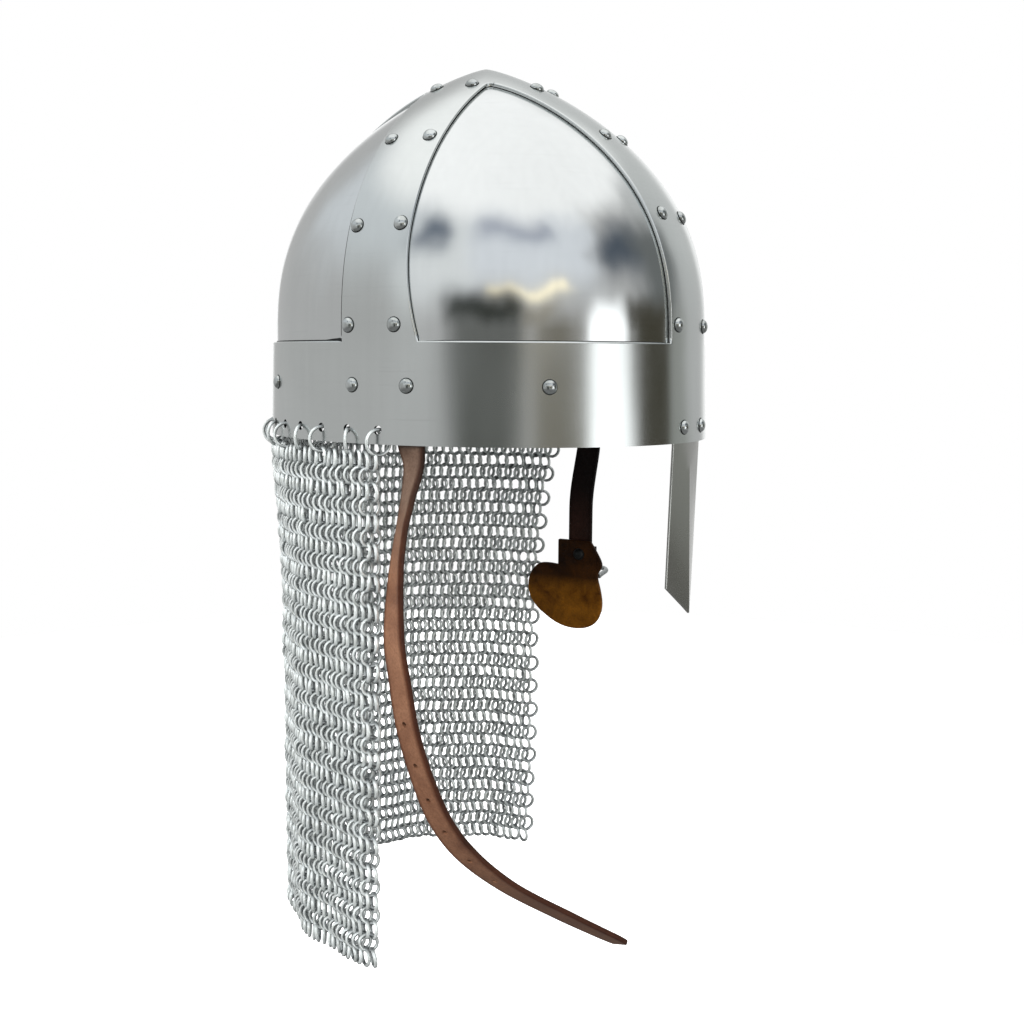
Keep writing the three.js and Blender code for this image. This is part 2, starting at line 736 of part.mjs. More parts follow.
function guardGeometry() {
  const tabY = barY + strapWidth / 2 + 5;
  const outline = guardOutline.map(({ across, down }) => new THREE.Vector2(
    tabY - across * guardWidth,
    -guardDrop - down * guardHeight,
  ));
  const options = { depth: guardThickness, bevelEnabled: false };
  const geometry = new THREE.ExtrudeGeometry(new THREE.Shape(outline), options);
  geometry.applyMatrix4(new THREE.Matrix4().makeBasis(
    new THREE.Vector3(0, 1, 0), new THREE.Vector3(0, 0, 1), new THREE.Vector3(1, 0, 0)));
  geometry.translate(guardInner, 0, 0);
  return geometry;
}
addMesh('buckle_guard', geometryOf(solid(guardGeometry()).subtract(guardDrill())), guardLeather);
addMesh('strap_short', geometryOf(shortStrap()), darkLeather);

const guardStack = guardThickness + 2 * strapThickness + 2 * foldRadius + 2 * fitGap;
const guardRivet = addMesh('guard_rivet', rivetGeometry(guardStack + fitGap), darkSteel);
guardRivet.quaternion.setFromUnitVectors(new THREE.Vector3(0, 0, 1), guardRivetSeat.out);
guardRivet.position.copy(guardRivetSeat.point).addScaledVector(guardRivetSeat.out, fitGap);

// Buckle: frame and prong turn on the bar's axis, along Y; both are drawn flat and tilted to rest
function buckleGeometry() {
  const outline = new THREE.Shape();
  const corner = buckleRim;
  outline.moveTo(0, -buckleHalfWidth);
  outline.lineTo(buckleReach - corner, -buckleHalfWidth);
  outline.lineTo(buckleReach, -buckleHalfWidth + corner);
  outline.lineTo(buckleReach, buckleHalfWidth - corner);
  outline.lineTo(buckleReach - corner, buckleHalfWidth);
  outline.lineTo(0, buckleHalfWidth);
  outline.lineTo(0, buckleHalfWidth - buckleRim);
  outline.lineTo(buckleReach - buckleRim, buckleHalfWidth - buckleRim);
  outline.lineTo(buckleReach - buckleRim, buckleRim - buckleHalfWidth);
  outline.lineTo(0, buckleRim - buckleHalfWidth);
  const flat = new THREE.ExtrudeGeometry(outline, { depth: buckleSheet, bevelEnabled: false });
  flat.translate(0, 0, -buckleSheet / 2);
  const bar = new THREE.CylinderGeometry(barRadius, barRadius, 2 * buckleHalfWidth, 8);
  return geometryOf(solid(flat).add(solid(bar)));
}

function prongGeometry() {
  const inner = foldRadius;
  const outer = foldRadius + prongWall;
  const steps = 12;
  const outline = new THREE.Shape();
  const underside = Math.sqrt(outer * outer - inner * inner);
  const start = Math.atan2(inner, underside);
  outline.moveTo(0, outer);
  for (let i = 1; i < steps; i += 1) {
    const turn = Math.PI / 2 + (2 * Math.PI + start - Math.PI / 2) * i / steps;
    outline.lineTo(outer * Math.cos(turn), outer * Math.sin(turn));
  }
  outline.lineTo(underside, inner);
  outline.lineTo(prongReach - prongWall, inner);
  outline.lineTo(prongReach, outer);
  const hole = new THREE.Path();
  hole.absarc(0, 0, inner, 0, 2 * Math.PI, true);
  outline.holes.push(hole);
  const options = { depth: prongWidth, bevelEnabled: false, curveSegments: 10 };
  const geometry = new THREE.ExtrudeGeometry(outline, options);
  geometry.translate(0, 0, -prongWidth / 2);
  geometry.rotateX(Math.PI / 2);
  return geometryOf(solid(geometry));
}

for (const [name, geometry] of [['buckle_frame', buckleGeometry()], ['buckle_prong', prongGeometry()]]) {
  const mesh = addMesh(name, geometry, darkSteel);
  mesh.position.set(barX, barY, barZ);
  mesh.rotation.y = -degrees(buckleTilt);
}

export default helmet;
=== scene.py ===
"""Dressed model of a riveted spangenhelm with a mail curtain, two straps and a buckle."""
import logging
import math
import random
from collections.abc import Sequence
from dataclasses import dataclass, field
from enum import Enum

import bmesh
import bpy
import numpy as np
from mathutils import Matrix, Vector


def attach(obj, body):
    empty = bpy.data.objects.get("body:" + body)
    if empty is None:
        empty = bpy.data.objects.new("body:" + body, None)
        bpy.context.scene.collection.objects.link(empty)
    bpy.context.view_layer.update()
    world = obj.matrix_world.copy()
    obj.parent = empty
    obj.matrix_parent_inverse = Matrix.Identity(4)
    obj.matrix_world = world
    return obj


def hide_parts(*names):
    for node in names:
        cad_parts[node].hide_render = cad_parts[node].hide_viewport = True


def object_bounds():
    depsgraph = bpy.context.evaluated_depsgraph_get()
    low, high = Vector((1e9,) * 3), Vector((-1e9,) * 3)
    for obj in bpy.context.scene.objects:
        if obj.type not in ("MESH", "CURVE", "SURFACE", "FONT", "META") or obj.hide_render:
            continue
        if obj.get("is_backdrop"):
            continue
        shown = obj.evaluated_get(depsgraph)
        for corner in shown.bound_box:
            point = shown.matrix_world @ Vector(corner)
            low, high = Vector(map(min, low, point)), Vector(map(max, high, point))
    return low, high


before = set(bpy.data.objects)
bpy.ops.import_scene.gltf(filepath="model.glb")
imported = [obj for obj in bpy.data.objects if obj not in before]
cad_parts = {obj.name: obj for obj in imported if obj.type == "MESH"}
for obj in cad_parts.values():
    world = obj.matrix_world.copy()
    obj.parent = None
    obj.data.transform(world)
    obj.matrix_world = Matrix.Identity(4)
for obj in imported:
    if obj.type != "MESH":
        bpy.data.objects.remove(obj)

LOG = logging.getLogger("spangenhelm")
UP = Vector((0.0, 0.0, 1.0))


class Side(Enum):
    """Side of the wearer, as the sign of X."""

    RIGHT = -1
    LEFT = 1

    def turn(self, angle: float) -> float:
        """Angle round the rim, mirrored for the wearer's right."""
        return angle if self is Side.LEFT else math.pi - angle


class End(Enum):
    """End of the helmet, as the sign of Y."""

    FRONT = -1
    REAR = 1


class Level(Enum):
    """Four heights of rivets on the spangen: side rise and spread, end rise and spread."""

    LOW = (1, 0.052, 0.74, 0.06, 0.7)
    MIDDLE = (2, 0.379, 0.7, 0.436, 0.52)
    HIGH = (3, 0.684, 0.63, 0.713, 0.42)
    TOP = (4, 0.903, 0.61, 0.896, 0.36)


# ---- Meshes ----


def mesh_from(bm: bmesh.types.BMesh, name: str) -> bpy.types.Mesh:
    """Turn a bmesh into a mesh and free it.

    Args:
        bm: The finished bmesh.
        name: Name of the result.

    Returns:
        The new mesh.
    """
    mesh = bpy.data.meshes.new(name)
    bm.to_mesh(mesh)
    bm.free()
    return mesh


def link_piece(bm: bmesh.types.BMesh, name: str, sharp: float = 35.0) -> bpy.types.Object:
    """Turn a bmesh into a smooth shaded object at the origin.

    Args:
        bm: The finished bmesh, which is freed.
        name: Name of the piece.
        sharp: Angle in degrees past which an edge stays sharp.

    Returns:
        The new object.
    """
    return link_mesh(mesh_from(bm, name), name, sharp)


def link_mesh(mesh: bpy.types.Mesh, name: str, sharp: float) -> bpy.types.Object:
    """Shade a mesh smooth and put it in the scene.

    Args:
        mesh: The mesh.
        name: Name of the result.
        sharp: Angle in degrees past which an edge stays sharp.

    Returns:
        The new object.
    """
    smooth_faces(mesh, sharp)
    piece = bpy.data.objects.new(name, mesh)
    bpy.context.scene.collection.objects.link(piece)
    return piece


def read(items: bpy.types.bpy_prop_collection, name: str, width: int = 1, kind: type = float) -> np.ndarray:
    """Read one property of a mesh's items.

    Args:
        items: Vertices, corners, faces or values.
        name: Name of the property.
        width: Numbers in each value.
        kind: Type of the numbers.

    Returns:
        One row for each item.
    """
    values = np.empty(len(items) * width, dtype=kind)
    items.foreach_get(name, values)
    return values if width == 1 else values.reshape(-1, width)


def spin_once(bm: bmesh.types.BMesh, axis: Vector, steps: int, weld: float) -> None:
    """Spin a line once round an axis through the origin and close its seam and poles.

    Args:
        bm: The bmesh of the line.
        axis: The axis.
        steps: Steps round it.
        weld: Distance within which places become one.
    """
    bmesh.ops.spin(bm, geom=bm.verts[:] + bm.edges[:], axis=axis, cent=(0.0, 0.0, 0.0), angle=2 * math.pi,
                   steps=steps, use_merge=True)
    bmesh.ops.remove_doubles(bm, verts=bm.verts, dist=weld)


def thicken(piece: bpy.types.Object, sheet: float, bevel: float, angle: float) -> None:
    """Give an open surface a wall with soft edges.

    Args:
        piece: The open surface.
        sheet: Thickness of the wall.
        bevel: Width of the soft edge.
        angle: Angle in degrees past which an edge is softened.
    """
    wall = piece.modifiers.new("wall", "SOLIDIFY")
    wall.thickness = sheet
    wall.offset = -1.0
    edge = piece.modifiers.new("edge", "BEVEL")
    edge.width = bevel
    edge.segments = 2
    edge.limit_method = "ANGLE"
    edge.angle_limit = math.radians(angle)
    bake_modifiers(piece)


def round_turns(sides: int) -> np.ndarray:
    """Evenly spaced angles once round."""
    return np.linspace(0.0, 2 * math.pi, sides, endpoint=False)


def course(places: Sequence[Vector], i: int) -> Vector:
    """Direction of a line of places at one of them."""
    return (places[min(i + 1, len(places) - 1)] - places[max(i - 1, 0)]).normalized()


def smooth_faces(mesh: bpy.types.Mesh, sharp: float) -> None:
    """Shade a mesh smooth, with sharp edges past an angle in degrees."""
    mesh.polygons.foreach_set("use_smooth", [True] * len(mesh.polygons))
    mesh.set_sharp_from_angle(angle=math.radians(sharp))


def bake_modifiers(piece: bpy.types.Object) -> None:
    """Put the result of a piece's modifiers into its mesh.

    Args:
        piece: The piece with the modifiers.
    """
    graph = bpy.context.evaluated_depsgraph_get()
    mesh = bpy.data.meshes.new_from_object(piece.evaluated_get(graph))
    old = piece.data
    piece.modifiers.clear()
    piece.data = mesh
    mesh.name = piece.name
    bpy.data.meshes.remove(old)


def cut(piece: bpy.types.Object, tools: Sequence[bpy.types.Object], keep: bool = False) -> None:
    """Cut a piece with closed tools, or keep only what lies inside them.

    Args:
        piece: The piece to cut.
        tools: The closed cutters, which are removed afterwards.
        keep: True to keep what the cutter covers.
    """
    for tool in tools:
        modifier = piece.modifiers.new("cut", "BOOLEAN")
        modifier.operation = "INTERSECT" if keep else "DIFFERENCE"
        modifier.solver = "EXACT"
        modifier.object = tool
    bake_modifiers(piece)
    for tool in tools:
        mesh = tool.data
        bpy.data.objects.remove(tool)
        bpy.data.meshes.remove(mesh)


def sweep(rows: Sequence[Sequence[Vector]], closed: bool = False, capped: bool = False,
          marks: Sequence[float] = ()) -> bmesh.types.BMesh:
    """Extrude a line of points through rows of places.

    Args:
        rows: Places of the line's points, one row for each step.
        closed: True if the line is a loop.
        capped: True to close the first and last loop with a face.
        marks: Values of the attribute "edge" along the line.

    Returns:
        A new bmesh of the swept surface.
    """
    bm = bmesh.new()
    mark = bm.verts.layers.float.new("edge") if marks else None
    line = [bm.verts.new(place) for place in rows[0]]
    for vertex, value in zip(line, marks):
        vertex[mark] = value
    pairs = list(zip(line, line[1:])) + ([(line[-1], line[0])] if closed else [])
    edges = [bm.edges.new(pair) for pair in pairs]
    if capped:
        bm.faces.new(line)
    for row in rows[1:]:
        made = bmesh.ops.extrude_edge_only(bm, edges=edges)["geom"]
        fresh = {item for item in made if isinstance(item, bmesh.types.BMVert)}
        line = [next(e.other_vert(v) for e in v.link_edges if e.other_vert(v) in fresh) for v in line]
        edges = [item for item in made
                 if isinstance(item, bmesh.types.BMEdge) and all(v in fresh for v in item.verts)]
        for vertex, place in zip(line, row):
            vertex.co = place
        for vertex, value in zip(line, marks):
            vertex[mark] = value
    if capped:
        bm.faces.new(line)
    bmesh.ops.recalc_face_normals(bm, faces=bm.faces)
    return bm


def ring_mesh(name: str, radius: float, wire: float, links: int, sides: int) -> bpy.types.Mesh:
    """Make one closed wire ring by spinning its section.

    Args:
        name: Name of the mesh.
        radius: Radius to the middle of the wire.
        wire: Radius of the wire.
        links: Segments round the ring.
        sides: Sides of the wire's section.

    Returns:
        A mesh in the XZ plane, with its axis along Y.
    """
    bm = bmesh.new()
    turn = Matrix.Translation((radius, 0.0, 0.0))
    bmesh.ops.create_circle(bm, segments=sides, radius=wire, matrix=turn)
    bmesh.ops.rotate(bm, verts=bm.verts, cent=(radius, 0.0, 0.0), matrix=Matrix.Rotation(math.pi / 2, 3, "X"))
    bmesh.ops.rotate(bm, verts=bm.verts, cent=(0.0, 0.0, 0.0), matrix=Matrix.Rotation(math.pi / 2, 3, "X"))
    spin_once(bm, Vector((0.0, 1.0, 0.0)), links, 1e-6)
    bmesh.ops.recalc_face_normals(bm, faces=bm.faces)
    # Painted shade between rings: the wire's inner side and the places where rings overlap get a value that darkens
    # them, partly tarnish.
    layer = bm.verts.layers.float.new("tarnish")
    for vert in bm.verts:
        inner = (radius - math.hypot(vert.co.x, vert.co.z)) / wire
        lap = 4 * abs(vert.co.z) / radius - 3
        vert[layer] = min(max(inner, 0.8 * lap, 0.0), 1.0)
    return mesh_from(bm, name)


def merge_copies(name: str, source: bpy.types.Mesh, places: Sequence[Matrix],
                 sharp: float = 60.0) -> bpy.types.Object:
    """Join many placed copies of one mesh into one piece.

    Args:
        name: Name of the piece.
        source: The mesh to repeat, which is removed afterwards.
        places: One matrix for each copy.
        sharp: Angle in degrees past which an edge stays sharp.

    Returns:
        The new object, with an attribute "copy" that differs from copy to copy.
    """
    count, corners = len(source.vertices), len(source.loops)
    points = np.c_[read(source.vertices, "co", 3), np.ones(count)]
    moved = np.concatenate([(points @ np.array(place).T)[:, :3] for place in places])
    loops = read(source.loops, "vertex_index", kind=np.int32)
    starts = read(source.polygons, "loop_start", kind=np.int32)
    slots = read(source.polygons, "material_index", kind=np.int32)
    steps = np.arange(len(places), dtype=np.int32)
    mesh = bpy.data.meshes.new(name)
    mesh.vertices.add(len(moved))
    mesh.vertices.foreach_set("co", moved.ravel())
    mesh.loops.add(corners * len(places))
    mesh.loops.foreach_set("vertex_index", (loops[None, :] + steps[:, None] * count).ravel())
    mesh.polygons.add(len(starts) * len(places))
    mesh.polygons.foreach_set("loop_start", (starts[None, :] + steps[:, None] * corners).ravel())
    mesh.update(calc_edges=True)
    mesh.polygons.foreach_set("material_index", np.tile(slots, len(places)))
    # Carries the rings' painted crevice shade.
    if "tarnish" in source.attributes:
        values = read(source.attributes["tarnish"].data, "value")
        mesh.attributes.new("tarnish", "FLOAT", "POINT").data.foreach_set("value", np.tile(values, len(places)))
    tint = mesh.attributes.new("copy", "FLOAT", "POINT")
    tint.data.foreach_set("value", np.repeat(np.random.default_rng(7).random(len(places)), count))
    bpy.data.meshes.remove(source)
    return link_mesh(mesh, name, sharp)


def spline(points: Sequence[Vector], steps: int) -> list[Vector]:
    """Evenly spaced places along a smooth curve through points.

    Args:
        points: The points that the curve passes through.
        steps: Number of steps along the whole curve.

    Returns:
        One place more than there are steps.
    """
    ends = [2 * points[0] - points[1], *points, 2 * points[-1] - points[-2]]
    dense: list[Vector] = []
    for a, b, c, d in zip(ends, ends[1:], ends[2:], ends[3:]):
        ta, tb, tc = (max((q - p).length, 1e-9) ** 0.5 for p, q in ((a, b), (b, c), (c, d)))
        start = ((b - a) / ta - (c - a) / (ta + tb) + (c - b) / tb) * tb
        stop = ((c - b) / tb - (d - b) / (tb + tc) + (d - c) / tc) * tb
        for i in range(24):
            t = i / 24
            dense.append((2 * t**3 - 3 * t**2 + 1) * b + (t**3 - 2 * t**2 + t) * start
                         + (3 * t**2 - 2 * t**3) * c + (t**3 - t**2) * stop)
    dense.append(points[-1].copy())
    run = [0.0]
    for a, b in zip(dense, dense[1:]):
        run.append(run[-1] + (b - a).length)
    places, k = [], 0
    for i in range(steps + 1):
        goal = run[-1] * i / steps
        while k < len(run) - 2 and run[k + 1] < goal:
            k += 1
        places.append(dense[k].lerp(dense[k + 1], (goal - run[k]) / max(run[k + 1] - run[k], 1e-12)))
    return places


def between(value: float, table: Sequence[Sequence[float]], column: int) -> float:
    """Read a column of a table at a value of its first column, in straight steps."""
    return float(np.interp(value, [row[0] for row in table], [row[column] for row in table]))


def ease(value: float) -> float:
    """Smooth step from 0 to 1."""
    t = min(max(value, 0.0), 1.0)
    return t * t * (3 - 2 * t)


# ---- Finishes ----


class Shader:
    """Builds one node material step by step."""

    def __init__(self, name: str) -> None:
        """Start a material with a principled shader.

        Args:
            name: Name of the material.
        """
        self.material = bpy.data.materials.new(name)
        self.material.use_nodes = True
        self.tree = self.material.node_tree
        self.surface = self.tree.nodes["Principled BSDF"]
        self.place = self.tree.nodes.new("ShaderNodeTexCoord").outputs["Object"]

    def set(self, **values: float) -> None:
        """Set plain values on the shader's own sockets."""
        for name, value in values.items():
            self.surface.inputs[name.replace("_", " ")].default_value = value

    def stretch(self, scale: Sequence[float], source: bpy.types.NodeSocket | None = None) -> bpy.types.NodeSocket:
        """Scale coordinates along each axis.

        Args:
            scale: Scale along each axis.
            source: Coordinates, or None for the object's own.

        Returns:
            The scaled coordinates.
        """
        node = self.tree.nodes.new("ShaderNodeMapping")
        node.inputs["Scale"].default_value = scale
        self.tree.links.new(source or self.place, node.inputs["Vector"])
        return node.outputs["Vector"]

    def noise(self, scale: float, detail: float = 3.0, rough: float = 0.5, warp: float = 0.0,
              source: bpy.types.NodeSocket | None = None) -> bpy.types.NodeSocket:
        """Add a noise pattern and give its grey value.

        Args:
            scale: Scale of the pattern.
            detail: Number of finer layers.
            rough: Strength of the finer layers.
            warp: Distortion of the pattern.
            source: Coordinates, or None for the object's own.

        Returns:
            The grey value.
        """
        node = self.tree.nodes.new("ShaderNodeTexNoise")
        for name, value in (("Scale", scale), ("Detail", detail), ("Roughness", rough), ("Distortion", warp)):
            node.inputs[name].default_value = value
        self.tree.links.new(source or self.place, node.inputs["Vector"])
        return node.outputs["Fac"]

    def cells(self, scale: float, feature: str = "F1") -> bpy.types.NodeSocket:
        """Add a cell pattern and give its distance.

        Args:
            scale: Scale of the pattern.
            feature: Feature that is measured.

        Returns:
            The distance.
        """
        node = self.tree.nodes.new("ShaderNodeTexVoronoi")
        node.feature = feature
        node.inputs["Scale"].default_value = scale
        self.tree.links.new(self.place, node.inputs["Vector"])
        return node.outputs["Distance"]

    def height(self) -> bpy.types.NodeSocket:
        """Height of the surface above the rim's plane.

        Returns:
            The height in metres.
        """
        node = self.tree.nodes.new("ShaderNodeSeparateXYZ")
        self.tree.links.new(self.place, node.inputs[0])
        return node.outputs["Z"]

    def attribute(self, name: str) -> bpy.types.NodeSocket:
        """Read a piece's own attribute.

        Args:
            name: Name of the attribute.

        Returns:
            Its value.
        """
        node = self.tree.nodes.new("ShaderNodeAttribute")
        node.attribute_name = name
        return node.outputs["Fac"]

    def ramp(self, source: bpy.types.NodeSocket, *stops: tuple[float, Sequence[float]]) -> bpy.types.NodeSocket:
        """Turn a grey value into colours through stops.

        Args:
            source: The grey value.
            *stops: Positions and colours.

        Returns:
            The colour.
        """
        node = self.tree.nodes.new("ShaderNodeValToRGB")
        elements = node.color_ramp.elements
        while len(elements) < len(stops):
            elements.new(0.5)
        for element, (position, colour) in zip(elements, stops):
            element.position = position
            element.color = (*colour, 1.0)
        self.tree.links.new(source, node.inputs["Fac"])
        return node.outputs["Color"]

    def spread(self, source: bpy.types.NodeSocket, low: float, high: float,
               start: float = 0.3, stop: float = 0.7) -> bpy.types.NodeSocket:
        """Map a grey value from start..stop to low..high.

        Args:
            source: The grey value.
            low: Result at the start.
            high: Result at the stop.
            start: Grey value of the start.
            stop: Grey value of the stop.

        Returns:
            The mapped value.
        """
        node = self.tree.nodes.new("ShaderNodeMapRange")
        for name, value in (("From Min", start), ("From Max", stop), ("To Min", low), ("To Max", high)):
            node.inputs[name].default_value = value
        self.tree.links.new(source, node.inputs["Value"])
        return node.outputs["Result"]

    def multiply(self, colour: bpy.types.NodeSocket, other: bpy.types.NodeSocket,
                 amount: float = 1.0) -> bpy.types.NodeSocket:
        """Multiply two colours by an amount.

        Args:
            colour: The first colour.
            other: The second colour.
            amount: Share of the product.

        Returns:
            The mixed colour.
        """
        node = self.tree.nodes.new("ShaderNodeMix")
        node.data_type = "RGBA"
        node.blend_type = "MULTIPLY"
        node.inputs["Factor"].default_value = amount
        self.tree.links.new(colour, node.inputs[6])
        self.tree.links.new(other, node.inputs[7])
        return node.outputs[2]

    def add(self, one: bpy.types.NodeSocket, two: bpy.types.NodeSocket, share: float) -> bpy.types.NodeSocket:
        """Add a share of one value to another.

        Args:
            one: The first value.
            two: The value to add.
            share: Share of it.

        Returns:
            The sum.
        """
        node = self.tree.nodes.new("ShaderNodeMath")
        node.operation = "MULTIPLY_ADD"
        node.inputs[1].default_value = share
        self.tree.links.new(two, node.inputs[0])
        self.tree.links.new(one, node.inputs[2])
        return node.outputs[0]

    def colour(self, socket: bpy.types.NodeSocket) -> None:
        """Use a socket as the base colour."""
        self.tree.links.new(socket, self.surface.inputs["Base Color"])

    def roughness(self, socket: bpy.types.NodeSocket) -> None:
        """Use a socket as the roughness."""
        self.tree.links.new(socket, self.surface.inputs["Roughness"])

    def bump(self, socket: bpy.types.NodeSocket, height: float, strength: float = 1.0) -> None:
        """Use a grey value as relief.

        Args:
            socket: The grey value.
            height: Height in metres that it stands for.
            strength: Strength of the relief.
        """
        node = self.tree.nodes.new("ShaderNodeBump")
        node.inputs["Strength"].default_value = strength
        node.inputs["Distance"].default_value = height
        self.tree.links.new(socket, node.inputs["Height"])
        last = self.surface.inputs["Normal"]
        if last.links:
            self.tree.links.new(last.links[0].from_socket, node.inputs["Normal"])
        self.tree.links.new(node.outputs["Normal"], last)


@dataclass(frozen=True)
class SheetSteel:
    """Polished sheet steel with faint brushing, fine scratches and soft hammer marks."""

    name: str
    tone: float = 0.74
    low: float = 0.2
    high: float = 0.28
    tint: tuple[float, float, float] = (1.0, 1.0, 1.0)
    dent: float = 0.0004
    dent_scale: float = 18.0

    def material(self) -> bpy.types.Material:
        """Build the finish.

        Returns:
            The node material.
        """
        shader = Shader(self.name)
        shader.set(Metallic=1.0)
        light = tuple(self.tone * share for share in self.tint)
        dull = tuple(value * 0.93 for value in light)
        upright = shader.noise(1.0, 3.0, 0.55, source=shader.stretch((260.0, 260.0, 9.0)))
        level = shader.noise(1.0, 4.0, 0.6, source=shader.stretch((24.0, 24.0, 1400.0)))
        cloud = shader.noise(11.0, 4.0, 0.55, 0.5)
        shade = shader.ramp(cloud, (0.3, dull), (0.65, light))
        brushed = shader.ramp(upright, (0.3, (0.975, 0.975, 0.975)), (0.7, (1.0, 1.0, 1.0)))
        scratch = shader.ramp(level, (0.3, (0.965, 0.965, 0.965)), (0.42, (1.0, 1.0, 1.0)))
        shader.colour(shader.multiply(shader.multiply(shade, brushed), scratch))
        rough, grain = shader.spread(cloud, self.low, self.high), shader.spread(level, -0.5, 0.5)
        shader.roughness(shader.add(rough, grain, 0.012))
        shader.bump(shader.noise(self.dent_scale, 1.0, 0.3), self.dent, 1.0)
        shader.bump(upright, 0.00001, 0.5)
        return shader.material


@dataclass(frozen=True)
class WireSteel:
    """Plain wire steel whose tone differs a little from ring to ring."""

    name: str
    dark: float = 0.5
    light: float = 0.72
    rough: float = 0.3
    bare: float = 1.0

    def material(self) -> bpy.types.Material:
        """Build the finish.

        Returns:
            The node material.
        """
        shader = Shader(self.name)
        shader.set(Metallic=self.bare)
        copy = shader.attribute("copy")
        dark, light = self.dark, self.light
        tone = shader.ramp(copy, (0.0, (dark * 0.95, dark, dark * 0.995)), (1.0, (light * 0.95, light, light * 0.99)))
        grime_and_shade = shader.ramp(shader.noise(300.0, 3.0), (0.3, (0.72, 0.72, 0.7)), (0.6, (1.0, 1.0, 1.0)))
        # Painted crevice shade on the wire's inner side and where rings overlap, partly tarnish.
        shade = shader.ramp(shader.attribute("tarnish"), (0.12, (1.0, 1.0, 1.0)), (1.0, (0.24, 0.25, 0.26)))
        shader.colour(shader.multiply(shader.multiply(tone, grime_and_shade), shade))
        shader.roughness(shader.spread(shader.noise(500.0, 2.0), self.rough - 0.07, self.rough + 0.08))
        shader.bump(shader.noise(900.0, 2.0), 0.00005, 0.4)
        return shader.material


@dataclass(frozen=True)
class Leather:
    """Leather with pores, soft colour changes and darker cut edges."""

    name: str
    dark: tuple[float, float, float]
    light: tuple[float, float, float]
    edge: tuple[float, float, float]
    rough: float = 0.5
    grain: float = 900.0
    wear: float = 40.0
    gloss: float = 0.3
    # Tint multiplied in towards the top of the piece, between the two heights below.
    top_tint: tuple[float, float, float] = (1.0, 1.0, 1.0)
    top_tint_low: float = 0.0
    top_tint_high: float = 1.0

    def material(self) -> bpy.types.Material:
        """Build the finish.

        Returns:
            The node material.
        """
        shader = Shader(self.name)
        shader.set(Specular_IOR_Level=self.gloss)
        cloud = shader.noise(self.wear, 5.0, 0.6, 0.6)
        base = shader.ramp(cloud, (0.3, self.dark), (0.68, self.light))
        speck = shader.ramp(shader.noise(self.grain, 3.0, 0.6), (0.3, (0.7, 0.68, 0.66)), (0.6, (1.0, 1.0, 1.0)))
        rim = shader.ramp(shader.attribute("edge"), (0.62, (1.0, 1.0, 1.0)), (0.97, self.edge))
        # Colour multiplied in towards the top of the piece, by height, with a little noise.
        level = shader.spread(shader.height(), 0.0, 1.0, self.top_tint_low, self.top_tint_high)
        top_tinted = shader.ramp(shader.add(level, cloud, 0.3), (0.1, (1.0, 1.0, 1.0)), (0.75, self.top_tint))
        shader.colour(shader.multiply(shader.multiply(shader.multiply(base, speck), rim), top_tinted))
        shader.roughness(shader.spread(cloud, self.rough - 0.08, self.rough + 0.1))
        shader.bump(shader.cells(self.grain), 0.00012, 0.5)
        shader.bump(shader.noise(self.wear * 3, 3.0), 0.0003, 0.4)
        return shader.material


# ---- Bowl ----


